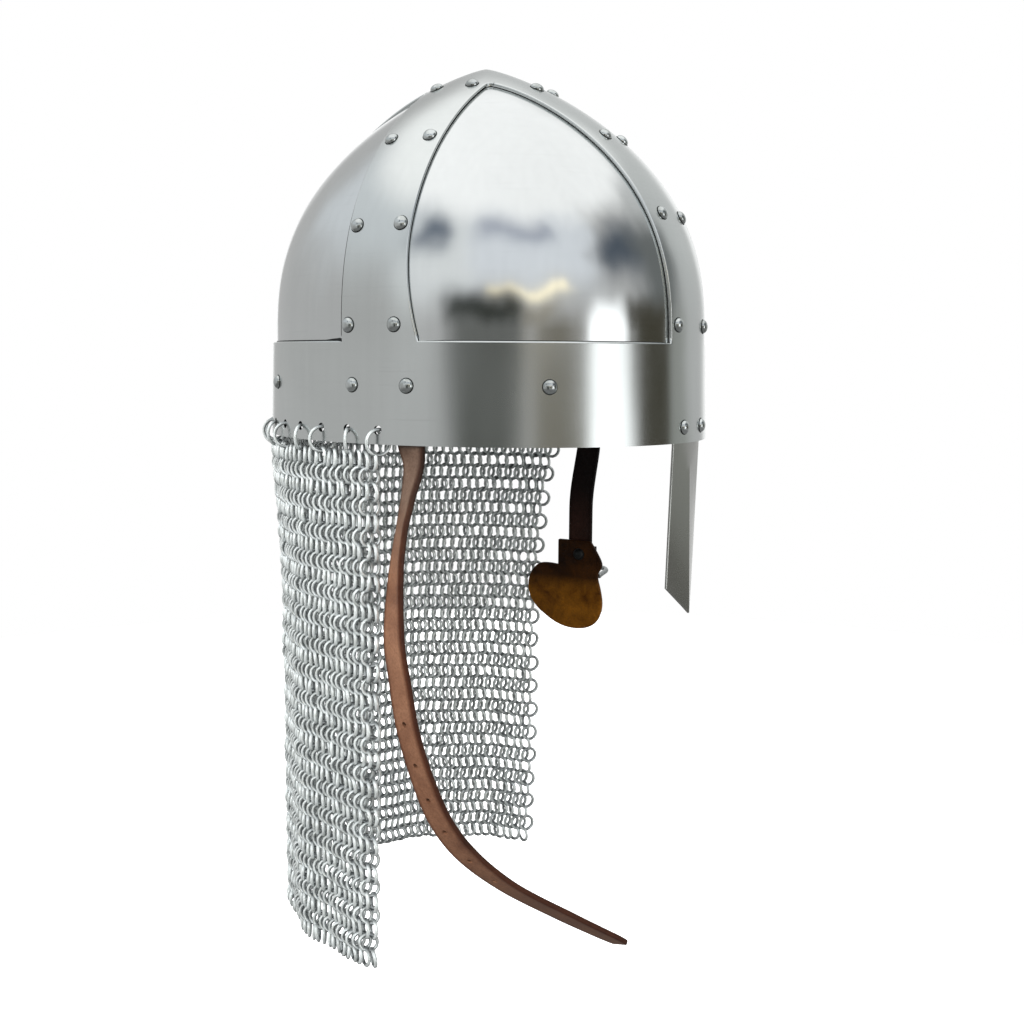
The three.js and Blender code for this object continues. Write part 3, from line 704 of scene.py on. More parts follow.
@dataclass(frozen=True)
class Bowl:
    """Form of the bowl: an oval wall that narrows into a soft point."""

    half_width: float = 0.101
    half_length: float = 0.118
    crown: float = 0.1865
    brow: float = 0.0472
    taper: float = 0.012
    fullness: float = 2.54
    rounding: float = 0.838
    sheet: float = 0.0016
    gap: float = 0.0003
    columns: int = 120
    crown_rows: int = 44
    brow_rows: int = 6
    along_wall: float = 0.8

    @property
    def rise(self) -> float:
        """Height of the crown above the brow band."""
        return self.crown - self.brow

    def reach(self, height: np.ndarray) -> np.ndarray:
        """Share of the rim's size that the bowl keeps at each height.

        Args:
            height: Heights above the rim.

        Returns:
            The shares, from 1 at the rim to 0 at the crown.
        """
        rise = np.clip((height - self.brow) / self.rise, 0.0, 1.0)
        wall = 1 - self.taper * height / self.brow
        return np.where(height <= self.brow, wall, (1 - self.taper) * (1 - rise**self.fullness) ** self.rounding)

    def outs(self, angle: np.ndarray, height: np.ndarray) -> np.ndarray:
        """Directions out of the wall at angles and heights.

        Args:
            angle: Angles round the rim.
            height: Heights above the rim.

        Returns:
            Unit vectors.
        """
        low, high = height - 1e-4, np.minimum(height + 1e-4, self.crown)
        slope = (self.reach(high) - self.reach(low)) / (high - low)
        out = np.stack([np.cos(angle) / self.half_width, np.sin(angle) / self.half_length, -slope], axis=-1)
        return out / np.linalg.norm(out, axis=-1, keepdims=True)

    def places(self, angle: np.ndarray, height: np.ndarray, depth: float) -> np.ndarray:
        """Points of the wall at angles and heights, sunk by a depth.

        Args:
            angle: Angles round the rim.
            height: Heights above the rim.
            depth: Depth below the bowl's outside.

        Returns:
            The points.
        """
        reach = self.reach(height)
        place = np.stack([self.half_width * reach * np.cos(angle), self.half_length * reach * np.sin(angle), height],
                         axis=-1)
        place = place - depth * self.outs(angle, height)
        place[..., 2] = np.where(height <= 0, height, place[..., 2])
        return place

    def point(self, angle: float, height: float, depth: float = 0.0) -> Vector:
        """Point of the wall at an angle and a height, sunk by a depth."""
        return Vector(self.places(np.array([angle]), np.array([height]), depth)[0])

    def out(self, angle: float, height: float) -> Vector:
        """Direction out of the wall at an angle and a height."""
        return Vector(self.outs(np.array([angle]), np.array([height]))[0])

    def normals_at(self, points: np.ndarray) -> np.ndarray:
        """Directions out of the wall for places that lie on or within it.

        Args:
            points: The places.

        Returns:
            Unit vectors, one for each place.
        """
        angle = np.arctan2(points[:, 1] / self.half_length, points[:, 0] / self.half_width)
        height = np.clip(points[:, 2], 0.0, self.crown)
        for _ in range(4):
            out = self.outs(angle, height)
            depth = ((self.places(angle, height, 0.0) - points) * out).sum(axis=1)
            height = np.clip(points[:, 2] + depth * out[:, 2], 0.0, self.crown)
        pole = np.hypot(points[:, 0], points[:, 1]) < 1e-4
        out[pole] = (0.0, 0.0, 1.0)
        return out

    def layer(self, depth: float, low: float, inward: bool) -> bpy.types.Mesh:
        """One face of the wall, spun round the upright axis.

        Args:
            depth: Depth of the face below the bowl's outside.
            low: Height of its lower edge.
            inward: True for the inner face of a wall.

        Returns:
            An open mesh with its rim at the lower edge.
        """
        heights = [low + (self.brow - low) * i / self.brow_rows for i in range(self.brow_rows)]
        heights += [self.brow + self.rise * math.sin(math.pi / 2 * i / self.crown_rows)
                    for i in range(self.crown_rows)]
        bm = bmesh.new()
        line = [bm.verts.new((float(self.reach(np.array(height))), 0.0, height)) for height in heights]
        line.append(bm.verts.new((0.0, 0.0, self.crown)))
        for pair in zip(line, line[1:]):
            bm.edges.new(pair)
        spin_once(bm, UP, self.columns, 1e-5)
        spun = np.array([vertex.co for vertex in bm.verts])
        angle = np.arctan2(spun[:, 1], spun[:, 0])
        moved = self.places(angle, spun[:, 2], depth)
        pole = np.hypot(spun[:, 0], spun[:, 1]) < 1e-6
        moved[pole] = (0.0, 0.0, self.crown - depth)
        moved[np.abs(spun[:, 2] - low) < 1e-6, 2] = low
        for vertex, place in zip(bm.verts, moved):
            vertex.co = place
        bmesh.ops.recalc_face_normals(bm, faces=bm.faces)
        side = max(bm.faces, key=lambda face: face.calc_center_median().x)
        if (side.normal.x < 0) != inward:
            bmesh.ops.reverse_faces(bm, faces=bm.faces)
        return mesh_from(bm, "layer")

    def wall(self, name: str, depth: float, low: float = 0.0) -> bpy.types.Object:
        """Closed wall of one sheet, from a height to the crown.

        Args:
            name: Name of the piece.
            depth: Depth of the sheet's outer face below the bowl's outside.
            low: Height of the wall's lower edge.

        Returns:
            The closed wall.
        """
        bm = bmesh.new()
        for sunk, inward in ((depth, False), (depth + self.sheet, True)):
            mesh = self.layer(sunk, low, inward)
            bm.from_mesh(mesh)
            bpy.data.meshes.remove(mesh)
        bmesh.ops.bridge_loops(bm, edges=[edge for edge in bm.edges if edge.is_boundary])
        return link_piece(bm, name)

    def true_normals(self, piece: bpy.types.Object) -> None:
        """Give the faces that lie along the wall the wall's own smooth normals.

        Args:
            piece: The piece.
        """
        mesh = piece.data
        facing = read(mesh.polygons, "normal", 3)
        turn = (self.normals_at(read(mesh.polygons, "center", 3)) * facing).sum(axis=1)
        sizes = read(mesh.polygons, "loop_total", kind=np.int32)
        corners = read(mesh.loops, "vertex_index", kind=np.int32)
        smooth = self.normals_at(read(mesh.vertices, "co", 3))[corners]
        turn = np.repeat(turn, sizes)[:, None]
        plain = np.repeat(facing, sizes, axis=0)
        mesh.normals_split_custom_set(np.where(np.abs(turn) > self.along_wall, np.sign(turn) * smooth, plain))


@dataclass(frozen=True)
class Seat:
    """Place and outward direction of a fastener on the wall."""

    node: str
    place: Vector
    out: Vector
    stack: float

    def matrix(self) -> Matrix:
        """Matrix that stands a fastener's own Z axis on the seat."""
        return Matrix.Translation(self.place) @ UP.rotation_difference(self.out).to_matrix().to_4x4()


@dataclass
class Skull:
    """Frame of brow band and spangen, the four plates behind it, and the rivets."""

    bowl: Bowl
    frame_finish: SheetSteel
    plate_finish: SheetSteel
    rivet_finish: WireSteel
    # Near-black finish for painted shade in seams, hanger holes and round rivet heads, partly grime.
    shadow_and_grime_finish: WireSteel
    rivet_rim: float = 1.1
    seam_front: tuple[float, float, float] = (0.0004, 0.0004, 0.0006)
    seam_rear: tuple[float, float, float] = (0.0013, 0.00025, 0.0007)
    seam_height: float = 0.00015
    side_half: float = 0.0175
    side_shift: float = 0.002
    end_half: float = 0.023
    end_narrowing: float = 0.0012
    flare: float = 0.0075
    flare_height: float = 0.052
    window_corner: float = 0.0038
    rim: float = 0.0008
    plate_side: float = 0.005875
    plate_end: float = 0.00348
    plate_low: float = 0.02
    plate_corner: float = 0.0024
    head_radius: float = 0.0033
    head_height: float = 0.0023
    shank_radius: float = 0.0015
    tail_radius: float = 0.0026
    tail_height: float = 0.001
    strap_thickness: float = 0.0028
    brow_rivet_height: float = 0.027
    brow_rivet_angles: tuple[tuple[str, float], ...] = (("rear", 41.2), ("side", 6.1), ("strap", -8.6),
                                                        ("front", -41.7))
    nasal_rivet: tuple[float, float] = (0.011, 0.0075)
    nasal_sheet: float = 0.002
    hanger_hole: float = 0.0022
    hanger_height: float = 0.0065
    edge_steps: int = 56
    corner_steps: int = 8
    low_steps: int = 40
    rivet_steps: int = 20

    def side_edge(self, end: End, height: float) -> float:
        """Place along Y of a side spangen's edge at a height; the front edge flares at the band.

        Args:
            end: End of the helmet.
            height: Height above the rim.

        Returns:
            Place of the edge along Y.
        """
        if end is End.REAR:
            return self.side_shift + self.side_half
        low = max(0.0, 1 - (height - self.bowl.brow) / self.flare_height)
        return self.side_shift - self.side_half - self.flare * low * low

    def end_edge(self, height: float) -> float:
        """Half width of a front or rear spangen at a height."""
        share = min(max((height - self.bowl.brow) / self.bowl.rise, 0.0), 1.0)
        return self.end_half + self.end_narrowing * (2 * share - 1)

    def quarter_loop(self, side: Side, end: End, height: float, side_edge: float, end_edge: float,
                     corner: float) -> list[Vector]:
        """Loop round one quarter of the plan beyond two spangen edges.

        Args:
            side: Side of the wearer.
            end: End of the helmet.
            height: Height of the loop.
            side_edge: Edge of the side spangen along Y.
            end_edge: Edge of the front or rear spangen along X.
            corner: Radius of the corner between them.

        Returns:
            Places along the loop.
        """
        far = 2 * self.bowl.half_length
        loop = [Vector((side.value * far, side_edge, height))]
        for i in range(self.corner_steps + 1):
            turn = math.pi / 2 * i / self.corner_steps
            x = end_edge + corner * (1 - math.sin(turn))
            y = side_edge * end.value + corner * (1 - math.cos(turn))
            loop.append(Vector((side.value * x, end.value * y, height)))
        loop.append(Vector((side.value * end_edge, end.value * far, height)))
        loop.append(Vector((side.value * far, end.value * far, height)))
        return loop

    def window_cutter(self, side: Side, end: End) -> bpy.types.Object:
        """Closed prism that cuts one window, up to the middle of its rounded edge.

        Args:
            side: Side of the wearer.
            end: End of the helmet.

        Returns:
            The cutter.
        """
        low = self.bowl.brow - self.rim
        heights = [low + self.flare_height * i / 14 for i in range(15)]
        above = self.bowl.crown - low - self.flare_height
        heights += [low + self.flare_height + above * i / 4 for i in range(1, 5)]
        rows = [self.quarter_loop(side, end, height, self.side_edge(end, height) - end.value * self.rim,
                                  self.end_edge(height) - self.rim, self.window_corner) for height in heights]
        rows.append([place + UP * self.bowl.crown for place in rows[-1]])
        return link_piece(sweep(rows, closed=True, capped=True), "cutter")

    def window_path(self, side: Side, end: End) -> list[tuple[float, float]]:
        """Angles and heights round one window's edge, from its lower side corner.

        Args:
            side: Side of the window.
            end: End of the window.

        Returns:
            Angle and height of each place along the closed path.
        """
        bowl, corner = self.bowl, self.window_corner
        table = np.linspace(bowl.crown, bowl.brow, 2000)
        reaches = bowl.reach(table)
        low = bowl.brow - self.rim
        top = bowl.crown - 0.02
        edge_x = self.end_edge(top) - self.rim
        edge_y = self.side_edge(end, top) * end.value - self.rim
        arc = []
        for i in range(self.corner_steps + 1):
            turn = math.pi / 2 * i / self.corner_steps
            x, y = edge_x + corner * (1 - math.sin(turn)), edge_y + corner * (1 - math.cos(turn))
            reach = math.hypot(x / bowl.half_width, y / bowl.half_length)
            arc.append((math.atan2(y / bowl.half_length, x / bowl.half_width),
                        float(np.interp(reach, reaches, table))))
        path = []
        rising = np.linspace(0.0, math.pi / 2, self.edge_steps, endpoint=False)
        for height in low + (arc[0][1] - low) * np.sin(rising):
            y = self.side_edge(end, float(height)) * end.value - self.rim
            path.append((math.asin(y / (bowl.half_length * float(bowl.reach(height)))), float(height)))
        path += arc
        falling = np.linspace(0.0, math.pi / 2, self.edge_steps)[1:]
        for height in low + (arc[-1][1] - low) * np.cos(falling):
            x = self.end_edge(float(height)) - self.rim
            path.append((math.acos(x / (bowl.half_width * float(bowl.reach(height)))), float(height)))
        first, last = path[0][0], path[-1][0]
        path += [(last + (first - last) * i / self.low_steps, low) for i in range(1, self.low_steps)]
        signed = [(angle * end.value, height) for angle, height in path]
        return [(side.turn(angle), height) for angle, height in signed]

    def window_bead(self, side: Side, end: End, depth: float, high: float,
                    wides: tuple[float, float, float], inside: bool) -> bpy.types.Mesh:
        """Closed bead that follows one window's edge.

        Args:
            side: Side of the window.
            end: End of the window.
            depth: Depth of its middle below the outside.
            high: Half height of its oval section.
            wides: Half widths of its section along the side, end and lower edges.
            inside: True to lay the bead inside the edge rather than on it.

        Returns:
            The closed bead.
        """
        path = self.window_path(side, end)
        middles = [self.bowl.point(angle, height, depth) for angle, height in path]
        centre = sum(middles, Vector()) / len(middles)
        near, far = self.edge_steps, 2 * self.edge_steps + self.corner_steps
        stops = [(0, wides[0]), (near - 2, wides[0]), (near + self.corner_steps + 2, wides[1]), (far - 2, wides[1]),
                 (far + 4, wides[2]), (len(path) - 4, wides[2]), (len(path), wides[0])]
        rows = []
        for i, (angle, height) in enumerate(path):
            along = (middles[(i + 1) % len(middles)] - middles[i - 1]).normalized()
            out = self.bowl.out(angle, height)
            across = along.cross(out).normalized()
            if across.dot(centre - middles[i]) < 0:
                across = -across
            wide = between(float(i), stops, 1)
            middle = middles[i] + across * (wide if inside else 0.0)
            rows.append([middle + out * math.cos(turn) * high + across * math.sin(turn) * wide
                         for turn in round_turns(12)])
        bm = sweep(rows + rows[:1], closed=True)
        bmesh.ops.remove_doubles(bm, verts=bm.verts, dist=1e-7)
        bmesh.ops.recalc_face_normals(bm, faces=bm.faces)
        return mesh_from(bm, "bead")

    def plate_cutter(self, side: Side, end: End) -> bpy.types.Object:
        """Closed prism round the quarter that one plate fills.

        Args:
            side: Side of the wearer.
            end: End of the helmet.

        Returns:
            The cutter.
        """
        edge = self.side_shift + end.value * self.plate_side
        rows = [self.quarter_loop(side, end, height, edge, self.plate_end, self.plate_corner)
                for height in (0.0, 2 * self.bowl.crown)]
        return link_piece(sweep(rows, closed=True, capped=True), "cutter")

    def hanger_drills(self, angles: Sequence[float]) -> bpy.types.Object:
        """All drills for the hanger rings' holes as one cutter.

        Args:
            angles: Angles of the holes along the rim.

        Returns:
            The cutter.
        """
        bm = bmesh.new()
        bmesh.ops.create_cone(bm, cap_ends=True, segments=14, radius1=self.hanger_hole, radius2=self.hanger_hole,
                              depth=0.01)
        places = [Seat("", self.bowl.point(angle, self.hanger_height), self.bowl.out(angle, self.hanger_height),
                       0.0).matrix() for angle in angles]
        return merge_copies("cutter", mesh_from(bm, "drill"), places)

    def build_frame(self, hanger_angles: Sequence[float]) -> bpy.types.Object:
        """Build the brow band with its four spangen.

        Args:
            hanger_angles: Angles of the holes along the rim.

        Returns:
            The frame.
        """
        piece = self.bowl.wall("helmet_frame", 0.0)
        tools = [self.window_cutter(side, end) for side in Side for end in End]
        cut(piece, tools + [self.hanger_drills(hanger_angles)])
        smooth_faces(piece.data, 40.0)
        self.bowl.true_normals(piece)
        # Walls of the hanger holes take the near-black second finish: painted shade inside the holes.
        for angle in hanger_angles:
            place = self.bowl.point(angle, self.hanger_height)
            out = self.bowl.out(angle, self.hanger_height)
            for face in piece.data.polygons:
                away = face.center - place
                if away.length < 1.5 * self.hanger_hole and abs(face.normal.dot(out)) < 0.5:
                    face.material_index = 1
        join_meshes(piece, [self.window_bead(side, end, self.rim, self.rim, (self.rim,) * 3, False)
                            for side in Side for end in End])
        return finish_piece(piece, "helmet", "plate_steel", ["frame"], self.frame_finish.material(), self.grime_and_shade())

    def grime_and_shade(self) -> bpy.types.Material:
        """Near-black finish, made once: painted shade in the seams, the hanger holes and round the rivet heads,
        partly grime.
        """
        return bpy.data.materials.get(self.shadow_and_grime_finish.name) or self.shadow_and_grime_finish.material()

    def build_plates(self) -> list[bpy.types.Object]:
        """Build the four plates behind the windows.

        Returns:
            The plates.
        """
        finish = self.plate_finish.material()
        grime_and_shade = self.grime_and_shade()
        plates = []
        for side in Side:
            for end in End:
                name = f"plate_{end.name.lower()}_{side.name.lower()}"
                piece = self.bowl.wall(f"helmet_{name}", self.bowl.sheet + self.bowl.gap, self.plate_low)
                cut(piece, [self.plate_cutter(side, end)], keep=True)
                smooth_faces(piece.data, 40.0)
                self.bowl.true_normals(piece)
                # The near-black bead on the plate along the window's edge is a painted shadow of the gap under the
                # frame, partly grime in the seam.
                wides = self.seam_front if end is End.FRONT else self.seam_rear
                seam = self.window_bead(side, end, self.bowl.sheet + self.bowl.gap, self.seam_height, wides, True)
                join_meshes(piece, [seam], 1)
                plates.append(finish_piece(piece, "helmet", "plate_steel", [name], finish, grime_and_shade))
        return plates

    def seat(self, node: str, angle: float, height: float, stack: float) -> Seat:
        """Seat of one rivet on the bowl."""
        return Seat(node, self.bowl.point(angle, height), self.bowl.out(angle, height), stack)

    def span_seats(self) -> list[Seat]:
        """Seats of the rivets on the four spangen.

        Returns:
            The seats.
        """
        seats = []
        stack = 2 * self.bowl.sheet + self.bowl.gap
        for level in Level:
            number, side_rise, side_spread, end_rise, end_spread = level.value
            for sign in Side:
                for column in (-1, 1):
                    height = self.bowl.brow + self.bowl.rise * side_rise
                    along = self.side_shift + column * self.side_half * side_spread
                    turn = math.asin(along / (self.bowl.half_length * float(self.bowl.reach(np.array(height)))))
                    angle = sign.turn(turn)
                    place = "front" if column < 0 else "rear"
                    seats.append(self.seat(f"rivet_{sign.name.lower()}_{place}_{number}", angle, height, stack))
                    height = self.bowl.brow + self.bowl.rise * end_rise
                    across = column * self.end_half * end_spread
                    turn = math.acos(across / (self.bowl.half_width * float(self.bowl.reach(np.array(height)))))
                    end = "front" if sign is Side.RIGHT else "back"
                    name = f"rivet_{end}_{'right' if column < 0 else 'left'}_{number}"
                    seats.append(self.seat(name, sign.value * turn, height, stack))
        return seats

    def brow_seats(self) -> list[Seat]:
        """Seats of the rivets round the brow band.

        Returns:
            The seats.
        """
        seats = []
        gap = self.bowl.gap
        for place, degrees in self.brow_rivet_angles:
            for side in Side:
                angle = side.turn(math.radians(degrees))
                stack = 2 * self.bowl.sheet + gap
                stack += 2 * gap + self.strap_thickness if place == "strap" else 0.0
                name = f"rivet_brow_{place}_{side.name.lower()}"
                seats.append(self.seat(name, angle, self.brow_rivet_height, stack))
        return seats

    def nasal_seats(self) -> list[Seat]:
        """Seats of the two rivets that hold the nose guard.

        Returns:
            The seats.
        """
        spread, height = self.nasal_rivet
        stack = self.bowl.sheet + self.nasal_sheet + 5 * self.bowl.gap
        return [self.seat(f"rivet_nasal_{side.name.lower()}", -math.acos(side.value * spread / self.bowl.half_width),
                          height, stack) for side in Side]

    def rivet_mesh(self, stack: float) -> bpy.types.Mesh:
        """Domed rivet with its shank and peened tail, spun round its axis.

        Args:
            stack: Thickness of the sheets that it holds.

        Returns:
            The rivet, with its head up.
        """
        head = [(self.head_radius * math.sin(math.pi / 2 * i / 7), 0.0002 + (self.head_height - 0.0002)
                 * math.cos(math.pi / 2 * i / 7)) for i in range(8)]
        depth = stack + 3 * self.bowl.gap
        tail = [(self.tail_radius * math.cos(math.pi / 2 * i / 4), -depth - self.tail_height
                 * math.sin(math.pi / 2 * i / 4)) for i in range(5)]
        rim = self.head_radius * self.rivet_rim
        profile = head + [(rim, 0.0001), (rim, -0.0002), (self.shank_radius, -0.0002),
                          (self.shank_radius, -depth)] + tail
        bm = bmesh.new()
        line = [bm.verts.new((radius, 0.0, height)) for radius, height in profile]
        for pair in zip(line, line[1:]):
            bm.edges.new(pair)
        spin_once(bm, UP, self.rivet_steps, 1e-6)
        bmesh.ops.recalc_face_normals(bm, faces=bm.faces)
        # Faces outside the head's radius, its sunk rim among them, take the near-black second finish: a painted
        # shadow ring round the head.
        for face in bm.faces:
            face.material_index = int(face.calc_center_median().xy.length > self.head_radius)
        return mesh_from(bm, "rivet")

    def build_rivets(self) -> list[bpy.types.Object]:
        """Build the rivets of the spangen, the brow band and the nose guard.

        Returns:
            The four groups of rivets.
        """
        finish, grime_and_shade = self.rivet_finish.material(), self.grime_and_shade()
        draw = random.Random(4)
        pieces = []
        straps = [seat for seat in self.brow_seats() if "strap" in seat.node]
        brow = [seat for seat in self.brow_seats() if "strap" not in seat.node]
        groups = {"rivets_spangen": self.span_seats(), "rivets_brow": brow, "rivets_strap": straps,
                  "rivets_nasal": self.nasal_seats()}
        for name, seats in groups.items():
            places = [seat.matrix() @ Matrix.Rotation(draw.uniform(0.0, 6.28), 4, "Z")
                      @ Matrix.Diagonal((draw.uniform(0.97, 1.04), draw.uniform(0.97, 1.04), 1.0, 1.0))
                      for seat in seats]
            piece = merge_copies(f"helmet_{name}", self.rivet_mesh(seats[0].stack), places, 40.0)
            nodes = [seat.node for seat in seats]
            pieces.append(finish_piece(piece, "helmet", "rivet_steel", nodes, finish, grime_and_shade))
        return pieces


@dataclass
class Nasal:
    """Creased nose guard, held inside the brow band."""

    bowl: Bowl
    finish: SheetSteel
    half_width: float = 0.0169
    drop: float = 0.0705
    point: float = 0.0145
    top: float = 0.016
    sheet: float = 0.0012
    crease_forward: float = 0.002
    edge_back: float = 0.0021
    bevel: float = 0.00045

    def row(self, height: float) -> list[Vector]:
        """Points across the guard at a height of its edges.

        Args:
            height: Height of the edges.

        Returns:
            The points, from the wearer's right to the left.
        """
        seat = self.bowl.half_length - self.bowl.sheet - 2 * self.bowl.gap
        low = min(max(-height / self.drop, 0.0), 1.0)
        lean = self.bowl.half_length * self.bowl.taper * max(height, 0.0) / self.bowl.brow
        crease = -seat - self.crease_forward * low + lean
        edge = -seat * math.sqrt(1 - (self.half_width / self.bowl.half_width) ** 2) + self.edge_back * low + lean
        places = []
        for i in range(9):
            share = i / 4 - 1
            bend = abs(share) ** (2 - min(low * 6, 1.0) if height < 0 else 2.0)
            fall = low * self.point * (1 - abs(share))
            places.append(Vector((share * self.half_width, crease + (edge - crease) * bend, height - fall)))
        return places

    def build(self) -> bpy.types.Object:
        """Build the nose guard.

        Returns:
            The nose guard.
        """
        rows = [self.row(self.top * (1 - i / 4)) for i in range(4)]
        rows += [self.row(-self.drop * i / 24) for i in range(25)]
        bm = sweep(rows)
        face = min(bm.faces, key=lambda item: item.calc_center_median().y)
        if face.normal.y > 0:
            bmesh.ops.reverse_faces(bm, faces=bm.faces)
        piece = link_piece(bm, "nose_guard")
        thicken(piece, self.sheet, self.bevel, 55.0)
        smooth_faces(piece.data, 9.0)
        return finish_piece(piece, "helmet", "plate_steel", ["nasal"], self.finish.material())


@dataclass
class Mail:
    """Curtain of linked rings that hangs from the brow band by hanger rings."""

    bowl: Bowl
    finish: WireSteel
    hanger_finish: WireSteel
    columns: int = 67
    rows: int = 35
    crowding: float = 0.1
    ring_radius: float = 0.00435
    wire: float = 0.00095
    lean: float = 35.0
    start: float = 0.002
    first_row: float = 0.008
    drop_right: float = 0.258
    drop_left: float = 0.268
    waves: int = 7
    wave_depth: float = 0.0015
    hangers: int = 20
    hanger_radius: float = 0.006
    hanger_wire: float = 0.0008
    hanger_turn: float = 30.0
    hanger_right: float = -1.3
    hanger_left: float = 1.5
    hanger_level: float = 0.000875
    sections: tuple[tuple[float, ...], ...] = (
        (0.0, 0.985, 0.985, -1.6, -0.5),
        (0.06, 0.983, 0.965, -1.3, 2.2),
        (0.16, 0.98, 0.935, -1.2, 5.3),
        (0.28, 0.975, 0.918, -1.0, 7.0),
        (0.45, 0.97, 0.912, -0.8, 8.4),
        (0.72, 0.967, 0.91, 0.0, 8.8),
        (1.0, 0.965, 0.91, 0.9, 9.8),
    )

    def hanger_angles(self) -> list[float]:
        """Angles of the hanger rings, evenly spaced along the rim.

        Returns:
            One angle for each hanger.
        """
        first, last = math.radians(self.hanger_left), math.pi - math.radians(self.hanger_right)
        turns = np.linspace(first, last, 721)
        line = np.c_[self.bowl.half_width * np.cos(turns), self.bowl.half_length * np.sin(turns)]
        run = np.r_[0.0, np.cumsum(np.linalg.norm(np.diff(line, axis=0), axis=1))]
        return [float(np.interp(run[-1] * i / (self.hangers - 1), run, turns)) for i in range(self.hangers)]

    def frame_at(self, across: float, drop: float) -> tuple[Vector, Vector]:
        """Place on the curtain's middle and its outward direction.

        Args:
            across: Share of the way round, from the wearer's right.
            drop: Share of the way down.

        Returns:
            The place and a unit vector.
        """
        right = math.radians(between(drop, self.sections, 3))
        left = math.pi - math.radians(between(drop, self.sections, 4))
        angle = right + (left - right) * across
        out = Vector((-math.cos(angle) / self.bowl.half_width, math.sin(angle) / self.bowl.half_length, 0.0))
        out.normalize()
        wave = self.wave_depth * drop * math.sin(2 * math.pi * self.waves * across)
        length = self.drop_right + (self.drop_left - self.drop_right) * across
        place = Vector((-self.bowl.half_width * between(drop, self.sections, 1) * math.cos(angle),
                        self.bowl.half_length * between(drop, self.sections, 2) * math.sin(angle),
                        -self.start - (length - self.start) * drop))
        return place + out * wave, out

    def ring_places(self) -> list[Matrix]:
        """Matrices of all the curtain's rings, row by row.

        Returns:
            One matrix for each ring.
        """
        draw = random.Random(11)
        places = []
        for row in range(self.rows):
            shift = 0.5 * (row % 2)
            for column in range(self.columns):
                across = (column + 0.75 + shift + draw.uniform(-0.05, 0.05)) / (self.columns + 1.5)
                across *= 1 - self.crowding * (1 - across)
                length = self.drop_right + (self.drop_left - self.drop_right) * across
                outer = self.ring_radius + self.wire
                depth = self.first_row + (length - outer - self.first_row) * row / (self.rows - 1)
                place, out = self.frame_at(across, (depth - self.start) / (length - self.start))
                place += Vector([draw.gauss(0.0, 0.0002) for _ in range(3)])
                lean = math.radians((self.lean + draw.gauss(0.0, 5.0)) * (1 if row % 2 else -1))
                turn = Matrix.Rotation(math.atan2(out.y, out.x) + math.pi / 2 + lean, 4, "Z")
                tilt = Matrix.Rotation(math.radians(draw.gauss(0.0, 4.0)), 4, "X")
                spin = Matrix.Rotation(draw.uniform(-0.2, 0.2), 4, "Y")
                places.append(Matrix.Translation(place) @ turn @ tilt @ spin)
        return places

    def build_rings(self) -> list[bpy.types.Object]:
        """Build the curtain in three bands of rings.

        Returns:
            The three bands.
        """
        finish = self.finish.material()
        places = self.ring_places()
        share = math.ceil(len(places) / 3)
        pieces = []
        for band in range(3):
            source = ring_mesh("ring", self.ring_radius, self.wire, 14, 6)
            piece = merge_copies(f"mail_band_{band + 1}", source, places[band * share:(band + 1) * share])
            pieces.append(finish_piece(piece, "helmet", "mail_steel", ["mail_curtain"], finish))
        return pieces

    def build_hangers(self) -> bpy.types.Object:
        """Build the rings that pass through the brow band.

        Returns:
            The hangers.
        """
        places = []
        for i, angle in enumerate(self.hanger_angles()):
            out = self.bowl.out(angle, 0.0)
            place = self.bowl.point(angle, 0.0, self.bowl.sheet / 2)
            place.z = self.hanger_level
            turn = math.atan2(out.y, out.x) + math.radians(self.hanger_turn) * (1 if i % 2 == 0 else -1)
            places.append(Matrix.Translation(place) @ Matrix.Rotation(turn, 4, "Z"))
        source = ring_mesh("hanger", self.hanger_radius, self.hanger_wire, 28, 8)
        piece = merge_copies("mail_hangers", source, places)
        return finish_piece(piece, "helmet", "mail_steel", ["mail_curtain"], self.hanger_finish.material())


@dataclass(frozen=True)
class Station:
    """Place on a strap's middle line, with its course and the direction of its width."""

    place: Vector
    along: Vector
    wide: Vector


